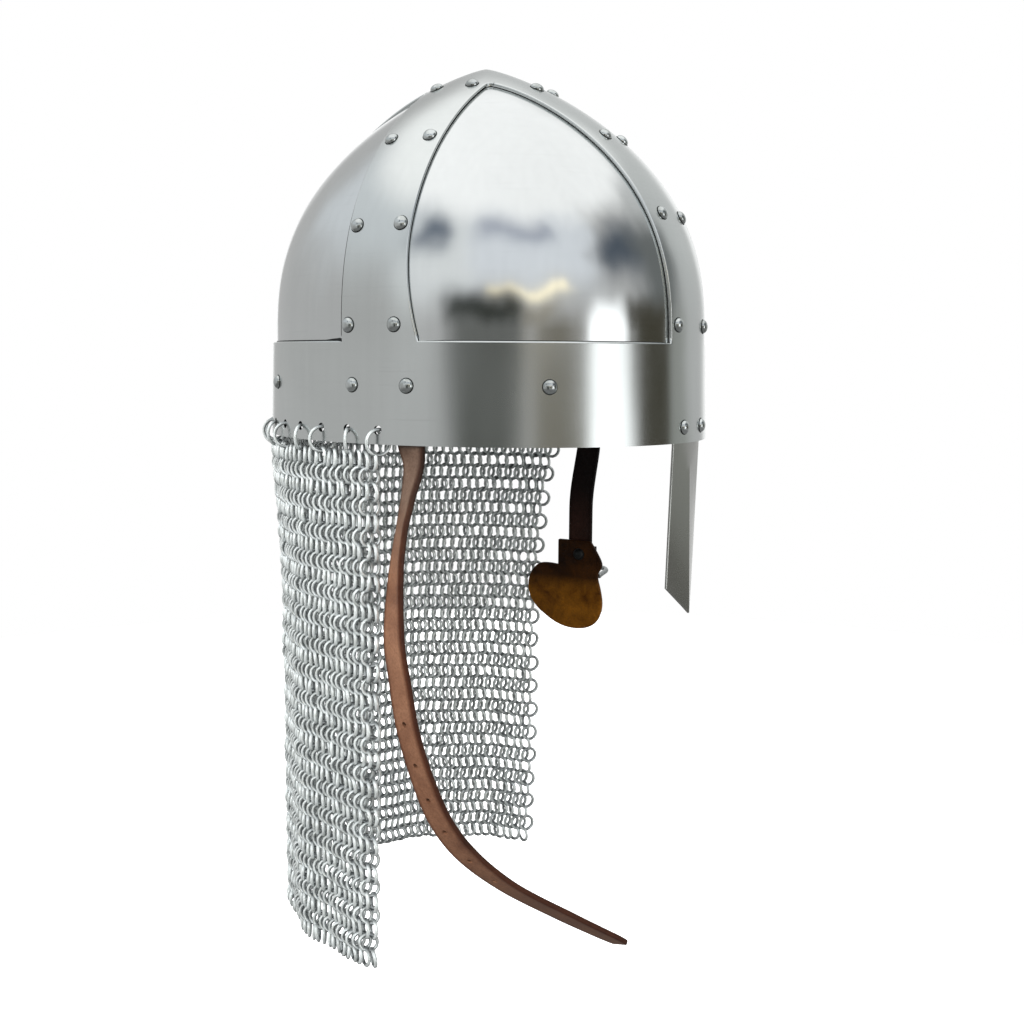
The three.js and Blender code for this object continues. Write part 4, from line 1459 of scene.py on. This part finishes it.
@dataclass
class Straps:
    """Long free strap on the right and the short buckle strap on the left."""

    bowl: Bowl
    long_finish: Leather
    short_finish: Leather
    width: float = 0.015
    thickness: float = 0.0028
    corner: float = 0.0009
    top: float = 0.036
    seat_angle: float = -8.6
    steps: int = 150
    hole: float = 0.0015
    hole_start: float = 0.47
    hole_pitch: float = 0.02
    holes: int = 6
    tip: float = 0.009
    drop: float = 0.2706
    heading: Vector = field(default_factory=lambda: Vector((0.848, -0.53, 0.0)))
    line: tuple[float, float] = (-0.097, -0.014)
    rim_turn: float = -28.0
    route: tuple[tuple[float, float, float], ...] = (
        (0.037, 0.0196, -8), (0.0887, 0.0096, 6), (0.1404, -0.0018, 11), (0.1996, -0.0115, 7),
        (0.2956, -0.0181, -6), (0.3511, -0.017, -12), (0.4102, -0.0081, -15), (0.4952, 0.0059, -18),
        (0.5765, 0.0288, -21), (0.6763, 0.0691, -28), (0.7465, 0.1179, -31), (0.8241, 0.1999, -26),
        (0.9165, 0.3326, -26), (1.0, 0.4612, -22),
    )
    settle: float = 0.05
    fold: float = 0.0018
    pivot: tuple[float, float, float] = (0.09728, -0.01157, -0.0906)
    turned_back: float = 0.017
    slot: tuple[float, float, float] = (0.0025, 0.01, 0.0052)

    def seat(self, side: Side, height: float) -> Vector:
        """Middle of a strap against the inside of the wall.

        Args:
            side: Side of the wearer.
            height: Height above the rim.

        Returns:
            The middle of the strap.
        """
        angle = side.turn(math.radians(self.seat_angle))
        depth = 2 * self.bowl.sheet + 3 * self.bowl.gap + self.thickness / 2
        return self.bowl.point(angle, height, depth)

    def bar(self) -> Vector:
        """Middle of the buckle's bar, on the axis of the buckle's two joints."""
        return Vector(self.pivot)

    def section(self) -> list[tuple[float, float]]:
        """Half width and half thickness places round the strap's rounded section.

        Returns:
            Places of the closed section, across and up.
        """
        half, thick, corner = self.width / 2, self.thickness / 2, self.corner
        face = [-0.85, -0.45, 0.0, 0.45, 0.85]
        places = [(share * half, thick) for share in reversed(face)]
        ring: list[tuple[float, float]] = []
        for start, cx, cy in ((90, -1, 1), (180, -1, -1), (270, 1, -1), (0, 1, 1)):
            arc = [(cx * (half - corner) + corner * math.cos(math.radians(start + 30 * i)),
                    cy * (thick - corner) + corner * math.sin(math.radians(start + 30 * i))) for i in range(4)]
            ring += arc
            if start == 180:
                ring += [(share * half, -thick) for share in face]
        return places + ring

    def strip(self, name: str, stations: Sequence[Station], taper: Sequence[float]) -> bpy.types.Object:
        """Leather strip through stations.

        Args:
            name: Name of the piece.
            stations: Stations along the strip.
            taper: Share of the width at each station.

        Returns:
            The closed strip, with an attribute "edge" that rises towards its cut edges.
        """
        section = self.section()
        rows = []
        for station, share in zip(stations, taper):
            flat = station.wide.cross(station.along).normalized()
            rows.append([station.place + station.wide * across * share + flat * up for across, up in section])
        marks = [min(abs(across) / (self.width / 2), 1.0) for across, _ in section]
        return link_piece(sweep(rows, closed=True, capped=True, marks=marks), name, 50.0)

    def turn_at(self, drop: float) -> float:
        """Turn of the long strap's width in degrees at a share of its drop.

        Args:
            drop: Share of the strap's drop.

        Returns:
            The turn in degrees.
        """
        angle = math.pi - math.radians(self.seat_angle)
        out = self.bowl.out(angle, 0.0)
        flush = math.degrees(math.atan2(out.y, out.x) - math.atan2(self.heading.x, -self.heading.y)) + 270
        wall = -(flush % 360)
        rows = [(-self.top / 2 / self.drop, 0.0, wall), (0.0, 0.0, self.rim_turn), *self.route]
        return between(drop, rows, 2)

    def long_stations(self) -> list[Station]:
        """Stations of the long strap from the brow band to its tip.

        Returns:
            The stations, from the top down.
        """
        points = [self.seat(Side.RIGHT, height) for height in (self.top, self.top / 2, 0.0)]
        for drop, reach, _ in self.route:
            points.append(Vector((*self.line, -drop * self.drop)) + self.heading * reach * self.drop)
        places = spline(points, self.steps)
        spread = Vector((-self.heading.y, self.heading.x, 0.0)).normalized()
        stations = []
        for i, place in enumerate(places):
            along = course(places, i)
            turn = Matrix.Rotation(math.radians(self.turn_at(-place.z / self.drop)), 3, along)
            wide = turn @ spread
            wide -= along * wide.dot(along)
            stations.append(Station(place, along, wide.normalized()))
        return stations

    def build_long(self) -> bpy.types.Object:
        """Build the long strap with its punched holes and pointed tip.

        Returns:
            The strap.
        """
        stations = self.long_stations()
        length = sum((b.place - a.place).length for a, b in zip(stations, stations[1:]))
        taper = []
        for i in range(self.steps + 1):
            left = length * (1 - i / self.steps)
            taper.append(1.0 if left >= self.tip else 0.75 + 0.25 * math.sqrt(left / self.tip))
        piece = self.strip("strap_long_leather", stations, taper)
        tools = []
        for i in range(self.holes):
            station = stations[round((self.hole_start + i * self.hole_pitch / length) * self.steps)]
            tools.append(drill(station.place, station.wide.cross(station.along), self.hole, 3 * self.thickness))
        cut(piece, tools)
        smooth_faces(piece.data, 40.0)
        return finish_piece(piece, "helmet", "brown_leather", ["strap_long"], self.long_finish.material())

    def short_stations(self) -> list[Station]:
        """Stations of the short strap, folded round the buckle's bar.

        Returns:
            The stations, from the top to the turned end.
        """
        top, rim, bar = self.seat(Side.LEFT, self.top), self.seat(Side.LEFT, 0.0), self.bar()
        radius = self.fold + self.thickness / 2
        run = bar - Vector((radius, 0.0, 0.0))
        places = [top.lerp(rim, i / 8) for i in range(8)]
        for i in range(11):
            drop = i / 10
            places.append(Vector((*rim.xy.lerp(run.xy, ease(drop)), -self.settle * drop)))
        for i in range(1, 9):
            places.append(Vector((run.x, run.y, -self.settle + (bar.z + self.settle) * i / 9)))
        for i in range(19):
            turn = math.pi * (1 + i / 18)
            places.append(bar + Vector((math.cos(turn), 0.0, math.sin(turn))) * radius)
        places += [bar + Vector((radius, 0.0, self.turned_back * i / 6)) for i in range(1, 7)]
        level = self.bowl.out(math.radians(self.seat_angle), 0.0).cross(UP).normalized()
        stations = []
        for i, place in enumerate(places):
            along = course(places, i)
            wide = level.lerp(Vector((0.0, -1.0, 0.0)), ease(-place.z / self.settle))
            wide -= along * wide.dot(along)
            stations.append(Station(place, along, wide.normalized()))
        return stations

    def build_short(self) -> bpy.types.Object:
        """Build the short strap with the slot for the prong.

        Returns:
            The strap.
        """
        stations = self.short_stations()
        piece = self.strip("strap_short_leather", stations, [1.0] * len(stations))
        bar = self.bar()
        half, reach, inner = self.slot
        depth = 2 * (self.fold + self.thickness)
        outline = ((-depth, -depth), (depth, -depth), (depth, reach), (0.0, reach), (0.0, inner), (-depth, inner))
        rows = [[bar + Vector((x, side * half, z)) for x, z in outline] for side in (-1, 1)]
        cut(piece, [link_piece(sweep(rows, closed=True, capped=True), "cutter")])
        smooth_faces(piece.data, 40.0)
        return finish_piece(piece, "helmet", "dark_leather", ["strap_short"], self.short_finish.material())


@dataclass
class Buckle:
    """Steel buckle with its prong, and the leather guard behind it."""

    bar: Vector
    steel: WireSteel
    leather: Leather
    half_width: float = 0.0125
    reach: float = 0.017
    corner: float = 0.0066
    wire: float = 0.0014
    bar_wire: float = 0.0015
    tilt: float = 8.0
    prong_width: float = 0.0026
    prong_wall: float = 0.0014
    prong_reach: float = 0.0185
    prong_roll: int = 26
    prong_run: int = 8
    fold: float = 0.0018
    strap_thickness: float = 0.0028
    strap_half: float = 0.0075
    guard_width: float = 0.051
    guard_height: float = 0.0545
    guard_thickness: float = 0.0025
    guard_drop: float = 0.069
    guard_rivet_drop: float = 0.0772
    guard_rivet_shift: float = 0.001
    guard_lead: float = 0.005
    guard_bevel: float = 0.0006
    guard_insets: tuple[tuple[float, float], ...] = ((0.0007, 0.9), (0.0012, 0.62), (0.0025, 0.2))
    gap: float = 0.0003
    guard_outline: tuple[tuple[float, float], ...] = (
        (-0.01, 0.0), (0.41, 0.0), (0.55, 0.2), (0.565, 0.28), (0.49, 0.37), (0.55, 0.55), (0.575, 0.72),
        (0.52, 0.88), (0.4, 0.97), (0.22, 1.0), (0.01, 0.975), (-0.2, 0.87), (-0.37, 0.73), (-0.425, 0.56),
        (-0.39, 0.41), (-0.28, 0.29), (-0.15, 0.275), (-0.01, 0.285),
    )
    guard_sharp: tuple[int, ...] = (0, 1, 17)

    def place(self) -> Matrix:
        """Matrix from the buckle's own flat frame to its rest on the bar."""
        return Matrix.Translation(self.bar) @ Matrix.Rotation(-math.radians(self.tilt), 4, "Y")

    def build_frame(self, finish: bpy.types.Material) -> bpy.types.Object:
        """Build the buckle's frame as a bent wire with its bar.

        Args:
            finish: Material of the steel.

        Returns:
            The frame.
        """
        half, reach = self.half_width - self.wire, self.reach - self.wire
        corner = self.corner
        path = [Vector((0.0, -half, 0.0))]
        for sign, start in ((-1, -90), (1, 0)):
            for i in range(7):
                turn = math.radians(start + 15 * i)
                path.append(Vector((reach - corner + corner * math.cos(turn),
                                    sign * (half - corner) + corner * math.sin(turn), 0.0)))
        path.append(Vector((0.0, half, 0.0)))
        bow = wire_rows(path, self.wire, 12, Vector((0.0, 0.0, 1.0)))
        bm = sweep(bow, closed=True, capped=True)
        bar = [Vector((0.0, share * self.half_width, 0.0)) for share in (-1.0, -0.94, 0.94, 1.0)]
        radii = [0.7 * self.bar_wire, self.bar_wire, self.bar_wire, 0.7 * self.bar_wire]
        rows = []
        for middle, radius in zip(bar, radii):
            rows.append([middle + Vector((math.cos(turn), 0.0, math.sin(turn))) * radius
                         for turn in round_turns(16)])
        mesh = mesh_from(sweep(rows, closed=True, capped=True), "bar")
        bm.from_mesh(mesh)
        bpy.data.meshes.remove(mesh)
        bmesh.ops.transform(bm, matrix=self.place(), verts=bm.verts)
        piece = link_piece(bm, "buckle_bow", 50.0)
        return finish_piece(piece, "buckle", "buckle_steel", ["buckle_frame"], finish)

    def build_prong(self, finish: bpy.types.Material) -> bpy.types.Object:
        """Build the prong, rolled round the bar from one strip.

        Args:
            finish: Material of the steel.

        Returns:
            The prong.
        """
        radius = self.fold + self.prong_wall / 2
        path = [Vector((math.cos(turn), 0.0, math.sin(turn))) * radius
                for turn in np.linspace(2 * math.pi + 0.55, math.pi / 2, self.prong_roll)]
        path += [Vector((share * self.prong_reach, 0.0, radius)) for share in np.linspace(0.08, 1.0, self.prong_run)]
        rows = []
        for i, place in enumerate(path):
            along = course(path, i)
            up = along.cross(Vector((0.0, 1.0, 0.0))).normalized()
            left = (Vector((self.prong_reach, 0.0, radius)) - place).length
            taper = 1.0 if i < self.prong_roll else min(1.0, 0.45 + 0.55 * left / (0.8 * self.prong_reach))
            half = self.prong_width / 2 * taper
            thick = self.prong_wall / 2 * (0.9 if i < len(path) - 1 else 0.55)
            rows.append([place + Vector((0.0, half * math.copysign(abs(math.cos(turn)) ** 0.6, math.cos(turn)), 0.0))
                         + up * thick * math.copysign(abs(math.sin(turn)) ** 0.6, math.sin(turn))
                         for turn in round_turns(12)])
        bm = sweep(rows, closed=True, capped=True)
        bmesh.ops.transform(bm, matrix=self.place(), verts=bm.verts)
        piece = link_piece(bm, "buckle_tongue", 50.0)
        return finish_piece(piece, "prong", "buckle_steel", ["buckle_prong"], finish)

    def build_guard(self) -> bpy.types.Object:
        """Build the leather guard from its smooth outline.

        Returns:
            The guard.
        """
        outer = self.bar.x - self.fold - self.strap_thickness - self.gap
        tab = self.bar.y + self.strap_half + self.guard_lead
        corners = [Vector((outer, tab - across * self.guard_width, -self.guard_drop - down * self.guard_height))
                   for across, down in self.guard_outline]
        outline = rounded_loop(corners, 3, self.guard_sharp)
        bm = bmesh.new()
        bm.faces.new([bm.verts.new(place) for place in outline])
        mark = bm.verts.layers.float.new("edge")
        for vertex in bm.verts:
            vertex[mark] = 1.0
        for depth, value in self.guard_insets:
            inner = max(bm.faces, key=lambda face: face.calc_area())
            bmesh.ops.inset_region(bm, faces=[inner], thickness=depth, use_even_offset=True)
            inner = max(bm.faces, key=lambda face: face.calc_area())
            for vertex in inner.verts:
                vertex[mark] = value
        inner = max(bm.faces, key=lambda face: face.calc_area())
        centre = bmesh.ops.poke(bm, faces=[inner])["verts"][0]
        centre[mark] = 0.0
        bmesh.ops.recalc_face_normals(bm, faces=bm.faces)
        if bm.faces[:][0].normal.x < 0:
            bmesh.ops.reverse_faces(bm, faces=bm.faces)
        piece = link_piece(bm, "buckle_guard_leather", 50.0)
        thicken(piece, self.guard_thickness, self.guard_bevel, 60.0)
        smooth_faces(piece.data, 50.0)
        return finish_piece(piece, "helmet", "tan_leather", ["buckle_guard"], self.leather.material())

    def build_guard_rivet(self, skull: Skull, finish: WireSteel) -> bpy.types.Object:
        """Build the near-black rivet through the guard and both layers of the strap.

        Args:
            skull: The skull, for the form of its rivets.
            finish: Finish of the rivet.

        Returns:
            The rivet.
        """
        stack = self.guard_thickness + 2 * self.strap_thickness + 2 * self.fold - 2 * self.gap
        inner = self.bar.x - self.fold - self.strap_thickness - self.gap - self.guard_thickness
        place = Vector((inner, self.bar.y - self.guard_rivet_shift, -self.guard_rivet_drop))
        seat = Seat("guard_rivet", place, Vector((-1.0, 0.0, 0.0)), stack)
        piece = merge_copies("rivet_guard", skull.rivet_mesh(stack), [seat.matrix()], 40.0)
        return finish_piece(piece, "helmet", "rivet_steel", ["guard_rivet"], finish.material())


# ---- Small shapes ----


def finish_piece(piece: bpy.types.Object, body: str, slot: str, nodes: Sequence[str],
                 *finishes: bpy.types.Material) -> bpy.types.Object:
    """Dress a piece, tie it to its body and hide the CAD parts of the nodes that it stands for.

    Args:
        piece: The piece.
        body: Body that carries it.
        slot: Its material slot; not used.
        nodes: CAD nodes that it replaces.
        *finishes: Its materials, in their order.

    Returns:
        The same piece.
    """
    for finish in finishes:
        piece.data.materials.append(finish)
    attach(piece, body)
    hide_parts(*nodes)
    LOG.info("built %s with %d faces", piece.name, len(piece.data.polygons))
    return piece


def join_meshes(piece: bpy.types.Object, meshes: Sequence[bpy.types.Mesh], slot: int = 0) -> None:
    """Add meshes to a piece, in a material slot, and keep its own smooth normals.

    Args:
        piece: The piece.
        meshes: Meshes to add, which are removed afterwards.
        slot: Slot of their faces.
    """
    mesh = piece.data
    parts = [read(mesh.corner_normals, "vector", 3)]
    bm = bmesh.new()
    bm.from_mesh(mesh)
    for part in meshes:
        count = len(part.polygons)
        part.polygons.foreach_set("use_smooth", [True] * count)
        part.polygons.foreach_set("material_index", [slot] * count)
        parts.append(read(part.corner_normals, "vector", 3))
        bm.from_mesh(part)
        bpy.data.meshes.remove(part)
    bm.to_mesh(mesh)
    bm.free()
    mesh.normals_split_custom_set(np.concatenate(parts))


def drill(place: Vector, direction: Vector, radius: float, length: float) -> bpy.types.Object:
    """Round cutter through a place.

    Args:
        place: Middle of the cutter.
        direction: Direction of its axis.
        radius: Its radius.
        length: Its length.

    Returns:
        The cutter.
    """
    bm = bmesh.new()
    bmesh.ops.create_cone(bm, cap_ends=True, segments=18, radius1=radius, radius2=radius, depth=length)
    turn = UP.rotation_difference(direction.normalized()).to_matrix().to_4x4()
    bmesh.ops.transform(bm, matrix=Matrix.Translation(place) @ turn, verts=bm.verts)
    return link_piece(bm, "cutter")


def rounded_loop(corners: Sequence[Vector], passes: int, sharp: Sequence[int] = ()) -> list[Vector]:
    """Round a closed loop by cutting its corners a few times, save the sharp ones.

    Args:
        corners: Corners of the loop.
        passes: Number of passes.
        sharp: Indices of the corners that stay.

    Returns:
        The rounded loop.
    """
    loop = [(place, i in sharp) for i, place in enumerate(corners)]
    for _ in range(passes):
        fresh = []
        for i, (place, kept) in enumerate(loop):
            before, after = loop[i - 1][0], loop[(i + 1) % len(loop)][0]
            if kept:
                fresh.append((place, True))
            else:
                fresh += [(place.lerp(before, 0.25), False), (place.lerp(after, 0.25), False)]
        loop = fresh
    return [place for place, _ in loop]


def wire_rows(path: Sequence[Vector], radius: float, sides: int, up: Vector) -> list[list[Vector]]:
    """Loops of a round wire along a flat path.

    Args:
        path: Places along the wire.
        radius: Radius of the wire.
        sides: Sides of its section.
        up: Direction at right angles to the path.

    Returns:
        One loop for each place.
    """
    rows = []
    for i, place in enumerate(path):
        wide = course(path, i).cross(up).normalized()
        rows.append([place + (wide * math.cos(turn) + up * math.sin(turn)) * radius
                     for turn in round_turns(sides)])
    return rows


# ---- Studio ----


@dataclass(frozen=True)
class Panel:
    """One soft panel or dark gap of the studio, by compass angle and height in degrees."""

    heading: float
    half: float
    low: float
    high: float
    soft: float
    colour: tuple[float, float, float]


@dataclass
class Studio:
    """Camera, pale floor and soft light round the helmet."""

    camera_place: Vector = field(default_factory=lambda: Vector((-0.544755, -0.323681, 0.039963)))
    camera_right: Vector = field(default_factory=lambda: Vector((0.49138, -0.87092, 0.00623)))
    camera_up: Vector = field(default_factory=lambda: Vector((0.10937, 0.06879, 0.99162)))
    lens: float = 41.74
    lamps: tuple[tuple[tuple[float, float, float], float, float], ...] = (
        ((-1.15, 0.35, 0.5), 0.8, 25.0),
        ((-0.6, -1.2, 0.0), 0.8, 7.0),
    )
    lamp_target: Vector = field(default_factory=lambda: Vector((0.0, 0.0, -0.12)))
    floor_level: float = -0.42
    floor_radius: float = 1.5
    drift_scale: float = 3.5
    drift_across: float = 7.0
    drift_up: float = 4.0
    ground: float = 0.22
    wall: float = 0.5
    ceiling: float = 1.15
    ground_rise: tuple[float, float] = (-30.0, -8.0)
    ceiling_rise: tuple[float, float] = (41.0, 56.0)
    panels: tuple[Panel, ...] = (
        Panel(-155.0, 52.0, 16.0, 60.0, 10.0, (0.82, 0.85, 0.9)),
        Panel(-10.0, 40.0, 10.0, 60.0, 16.0, (0.62, 0.63, 0.63)),
        Panel(125.0, 48.0, 20.0, 60.0, 14.0, (0.7, 0.73, 0.76)),
        Panel(172.0, 16.0, 10.0, 60.0, 10.0, (0.85, 0.87, 0.88)),
        Panel(27.0, 24.0, -30.0, 20.0, 7.0, (1.15, 1.15, 1.15)),
        Panel(-80.0, 20.0, 21.0, 38.0, 9.0, (0.08, 0.1, 0.13)),
        Panel(-56.0, 16.0, 4.0, 34.0, 8.0, (0.16, 0.17, 0.17)),
        Panel(165.0, 9.0, 30.0, 44.0, 6.0, (0.12, 0.15, 0.2)),
        Panel(-148.0, 22.0, 37.0, 50.0, 6.0, (0.42, 0.45, 0.53)),
        Panel(-143.0, 20.0, 14.0, 16.5, 2.0, (1.9, 1.65, 1.1)),
        Panel(-140.0, 12.0, 4.0, 10.0, 5.0, (0.26, 0.23, 0.17)),
        Panel(-167.0, 15.0, 3.0, 14.0, 5.0, (0.02, 0.024, 0.02)),
        Panel(-122.0, 14.0, -14.0, 2.0, 4.0, (0.15, 0.135, 0.1)),
        Panel(-163.0, 16.0, -25.0, 3.0, 8.0, (0.07, 0.075, 0.065)),
        Panel(-42.0, 12.0, -14.0, 4.0, 5.0, (0.33, 0.34, 0.32)),
        Panel(-66.0, 16.0, -14.0, 9.0, 4.0, (0.06, 0.055, 0.04)),
        Panel(-97.0, 13.5, -14.0, 9.0, 4.0, (1.7, 1.72, 1.74)),
    )

    def build(self) -> None:
        """Build the camera, the floor and the light."""
        self.build_camera()
        self.build_floor()
        self.build_lamps()
        self.build_world()
        bpy.context.scene.view_settings.view_transform = "Standard"

    def build_camera(self) -> None:
        """Place the camera at the photograph's view."""
        data = bpy.data.cameras.new("camera")
        data.lens = self.lens
        data.sensor_width = 36.0
        data.clip_start, data.clip_end = 0.01, 50.0
        camera = bpy.data.objects.new("camera", data)
        back = self.camera_right.cross(self.camera_up)
        turn = Matrix((self.camera_right, self.camera_up, back)).transposed().to_4x4()
        camera.matrix_world = Matrix.Translation(self.camera_place) @ turn
        bpy.context.scene.collection.objects.link(camera)
        bpy.context.scene.camera = camera

    def build_floor(self) -> None:
        """Lay a plain pale floor under the helmet."""
        bm = bmesh.new()
        bmesh.ops.create_circle(bm, cap_ends=True, segments=96, radius=self.floor_radius,
                                matrix=Matrix.Translation((0.0, 0.0, self.floor_level)))
        floor = link_piece(bm, "floor")
        shader = Shader("pale_floor")
        shader.set(Roughness=0.9, Specular_IOR_Level=0.1, Emission_Strength=0.9)
        shader.surface.inputs["Base Color"].default_value = (0.9, 0.9, 0.9, 1.0)
        shader.surface.inputs["Emission Color"].default_value = (1.0, 1.0, 1.0, 1.0)
        floor.data.materials.append(shader.material)
        floor.visible_glossy = False
        floor.visible_diffuse = False
        floor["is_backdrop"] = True

    def build_lamps(self) -> None:
        """Hang soft lamps that light leather and mail but don't show in the polished steel."""
        for i, (place, size, power) in enumerate(self.lamps):
            data = bpy.data.lights.new(f"lamp_{i}", "AREA")
            data.shape = "DISK"
            data.size = size
            data.energy = power
            lamp = bpy.data.objects.new(f"lamp_{i}", data)
            lamp.location = place
            lamp.rotation_euler = (Vector(place) - self.lamp_target).to_track_quat("Z", "Y").to_euler()
            lamp.visible_glossy = False
            lamp.visible_camera = False
            bpy.context.scene.collection.objects.link(lamp)

    def build_world(self) -> None:
        """Wrap the helmet in soft panels of light, white where the camera looks past it."""
        world = bpy.data.worlds.new("studio")
        bpy.context.scene.world = world
        world.use_nodes = True
        tree = world.node_tree
        links = tree.links
        split = tree.nodes.new("ShaderNodeSeparateXYZ")
        sky = tree.nodes.new("ShaderNodeTexCoord").outputs["Generated"]
        links.new(sky, split.inputs[0])
        drift = tree.nodes.new("ShaderNodeTexNoise")
        drift.inputs["Scale"].default_value = self.drift_scale
        drift.inputs["Detail"].default_value = 2.0
        links.new(sky, drift.inputs["Vector"])
        apart = tree.nodes.new("ShaderNodeSeparateXYZ")
        links.new(drift.outputs["Color"], apart.inputs[0])
        turns = self.step(tree, "MULTIPLY", self.step(tree, "ARCTAN2", split.outputs["Y"], split.outputs["X"]),
                          180 / math.pi)
        rise = self.step(tree, "MULTIPLY", self.step(tree, "ARCSINE", split.outputs["Z"]), 180 / math.pi)
        heading = self.step(tree, "ADD", turns, self.swing(tree, apart.outputs["X"], self.drift_across))
        height = self.step(tree, "ADD", rise, self.swing(tree, apart.outputs["Y"], self.drift_up))
        light = self.blend(tree, self.rise(tree, height, *self.ground_rise), (self.ground,) * 3, (self.wall,) * 3)
        for panel in self.panels:
            light = self.blend(tree, self.mask(tree, heading, height, panel), light, panel.colour)
        light = self.blend(tree, self.rise(tree, height, *self.ceiling_rise), light, (self.ceiling,) * 3)
        soft = tree.nodes["Background"]
        links.new(light, soft.inputs["Color"])
        white = tree.nodes.new("ShaderNodeBackground")
        white.inputs["Color"].default_value = (1.0, 1.0, 1.0, 1.0)
        choose = tree.nodes.new("ShaderNodeMixShader")
        links.new(tree.nodes.new("ShaderNodeLightPath").outputs["Is Camera Ray"], choose.inputs["Fac"])
        links.new(soft.outputs[0], choose.inputs[1])
        links.new(white.outputs[0], choose.inputs[2])
        links.new(choose.outputs[0], tree.nodes["World Output"].inputs["Surface"])

    def mask(self, tree: bpy.types.NodeTree, heading: bpy.types.NodeSocket, height: bpy.types.NodeSocket,
             panel: Panel) -> bpy.types.NodeSocket:
        """Soft mask of one panel.

        Args:
            tree: Node tree to add to.
            heading: Compass angle in degrees.
            height: Height in degrees.
            panel: The panel.

        Returns:
            The mask.
        """
        offset = self.step(tree, "WRAP", self.step(tree, "SUBTRACT", heading, panel.heading), 180.0, -180.0)
        away = self.step(tree, "ABSOLUTE", offset)
        across = self.rise(tree, away, panel.half + panel.soft, panel.half - panel.soft)
        above = self.rise(tree, height, panel.low - panel.soft, panel.low + panel.soft)
        below = self.rise(tree, height, panel.high + panel.soft, panel.high - panel.soft)
        return self.step(tree, "MULTIPLY", self.step(tree, "MULTIPLY", across, above), below)

    def swing(self, tree: bpy.types.NodeTree, noise: bpy.types.NodeSocket, reach: float) -> bpy.types.NodeSocket:
        """Turn noise into a drift of so many degrees either way."""
        return self.step(tree, "MULTIPLY", self.step(tree, "SUBTRACT", noise, 0.5), 4 * reach)

    @staticmethod
    def step(tree: bpy.types.NodeTree, operation: str, *values: bpy.types.NodeSocket | float) -> bpy.types.NodeSocket:
        """Add one step of arithmetic.

        Args:
            tree: Node tree to add to.
            operation: Name of the operation.
            *values: Its inputs, as numbers or sockets.

        Returns:
            The result.
        """
        node = tree.nodes.new("ShaderNodeMath")
        node.operation = operation
        for socket, value in zip(node.inputs, values):
            if isinstance(value, float):
                socket.default_value = value
            else:
                tree.links.new(value, socket)
        return node.outputs[0]

    @staticmethod
    def rise(tree: bpy.types.NodeTree, value: bpy.types.NodeSocket, start: float,
             stop: float) -> bpy.types.NodeSocket:
        """Smooth step between two values.

        Args:
            tree: Node tree to add to.
            value: The value.
            start: Value where the step is 0.
            stop: Value where it is 1.

        Returns:
            The step.
        """
        node = tree.nodes.new("ShaderNodeMapRange")
        node.interpolation_type = "SMOOTHSTEP"
        node.inputs["From Min"].default_value = min(start, stop)
        node.inputs["From Max"].default_value = max(start, stop)
        node.inputs["To Min"].default_value = 0.0 if start < stop else 1.0
        node.inputs["To Max"].default_value = 1.0 if start < stop else 0.0
        tree.links.new(value, node.inputs["Value"])
        return node.outputs["Result"]

    @staticmethod
    def blend(tree: bpy.types.NodeTree, share: bpy.types.NodeSocket,
              *tones: bpy.types.NodeSocket | tuple[float, float, float]) -> bpy.types.NodeSocket:
        """Blend from one light to another.

        Args:
            tree: Node tree to add to.
            share: Share of the second light.
            *tones: The two lights, as sockets or colours.

        Returns:
            The blended light.
        """
        node = tree.nodes.new("ShaderNodeMix")
        node.data_type = "RGBA"
        tree.links.new(share, node.inputs["Factor"])
        for socket, tone in zip(node.inputs[6:8], tones):
            if isinstance(tone, tuple):
                socket.default_value = (*tone, 1.0)
            else:
                tree.links.new(tone, socket)
        return node.outputs[2]


def main() -> None:
    """Build the helmet piece by piece."""
    logging.basicConfig(level=logging.INFO, format="%(message)s")
    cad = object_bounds()
    cad = (cad[0].copy(), cad[1].copy())
    Studio().build()
    bowl = Bowl()
    # The near-black seam finish paints shade in the seams, hanger holes and round rivet heads, partly grime.
    skull = Skull(bowl, SheetSteel("band_steel", 0.76, 0.17, 0.23, (0.97, 1.01, 0.995)),
                  SheetSteel("plate_steel", 0.8, 0.11, 0.17, (0.975, 1.005, 1.0), 0.0007, 13.0),
                  WireSteel("rivet_steel", 0.58, 0.72, 0.17), WireSteel("seam_grime", 0.05, 0.06, 0.5))
    mail = Mail(bowl, WireSteel("mail_steel", 0.8, 1.0, 0.2, 0.55), WireSteel("hanger_steel", 0.85, 0.92, 0.26, 0.6))
    skull.build_frame(mail.hanger_angles())
    skull.build_plates()
    skull.build_rivets()
    Nasal(bowl, SheetSteel("nasal_steel", 0.52, 0.22, 0.3, (1.0, 1.01, 0.96), 0.0002)).build()
    mail.build_rings()
    mail.build_hangers()
    # The brown leather's upper part is a painted sheen: greyer and a little darker towards the top. The dark leather
    # is only darker towards the top.
    straps = Straps(bowl, Leather("brown_leather", (0.13, 0.056, 0.031), (0.27, 0.13, 0.072), (0.28, 0.18, 0.14),
                            top_tint=(0.62, 0.85, 1.1), top_tint_low=-0.06, top_tint_high=0.0),
                    Leather("dark_leather", (0.016, 0.007, 0.005), (0.042, 0.017, 0.012), (0.4, 0.4, 0.4),
                            gloss=0.15, top_tint=(0.3, 0.36, 0.45), top_tint_low=-0.06, top_tint_high=-0.02))
    straps.build_long()
    straps.build_short()
    # The tan leather is darker towards the top.
    guard_leather = Leather("tan_leather", (0.07, 0.022, 0.001), (0.3, 0.115, 0.008), (0.1, 0.07, 0.05),
                            wear=75.0, gloss=0.15, top_tint=(0.16, 0.14, 0.3), top_tint_low=-0.1, top_tint_high=-0.085)
    buckle = Buckle(straps.bar(), WireSteel("buckle_steel", 0.45, 0.5, 0.35), guard_leather)
    steel = buckle.steel.material()
    buckle.build_frame(steel)
    buckle.build_prong(steel)
    buckle.build_guard()
    buckle.build_guard_rivet(skull, WireSteel("black_rivet", 0.04, 0.05, 0.5))


if __name__ == "__main__":
    main()
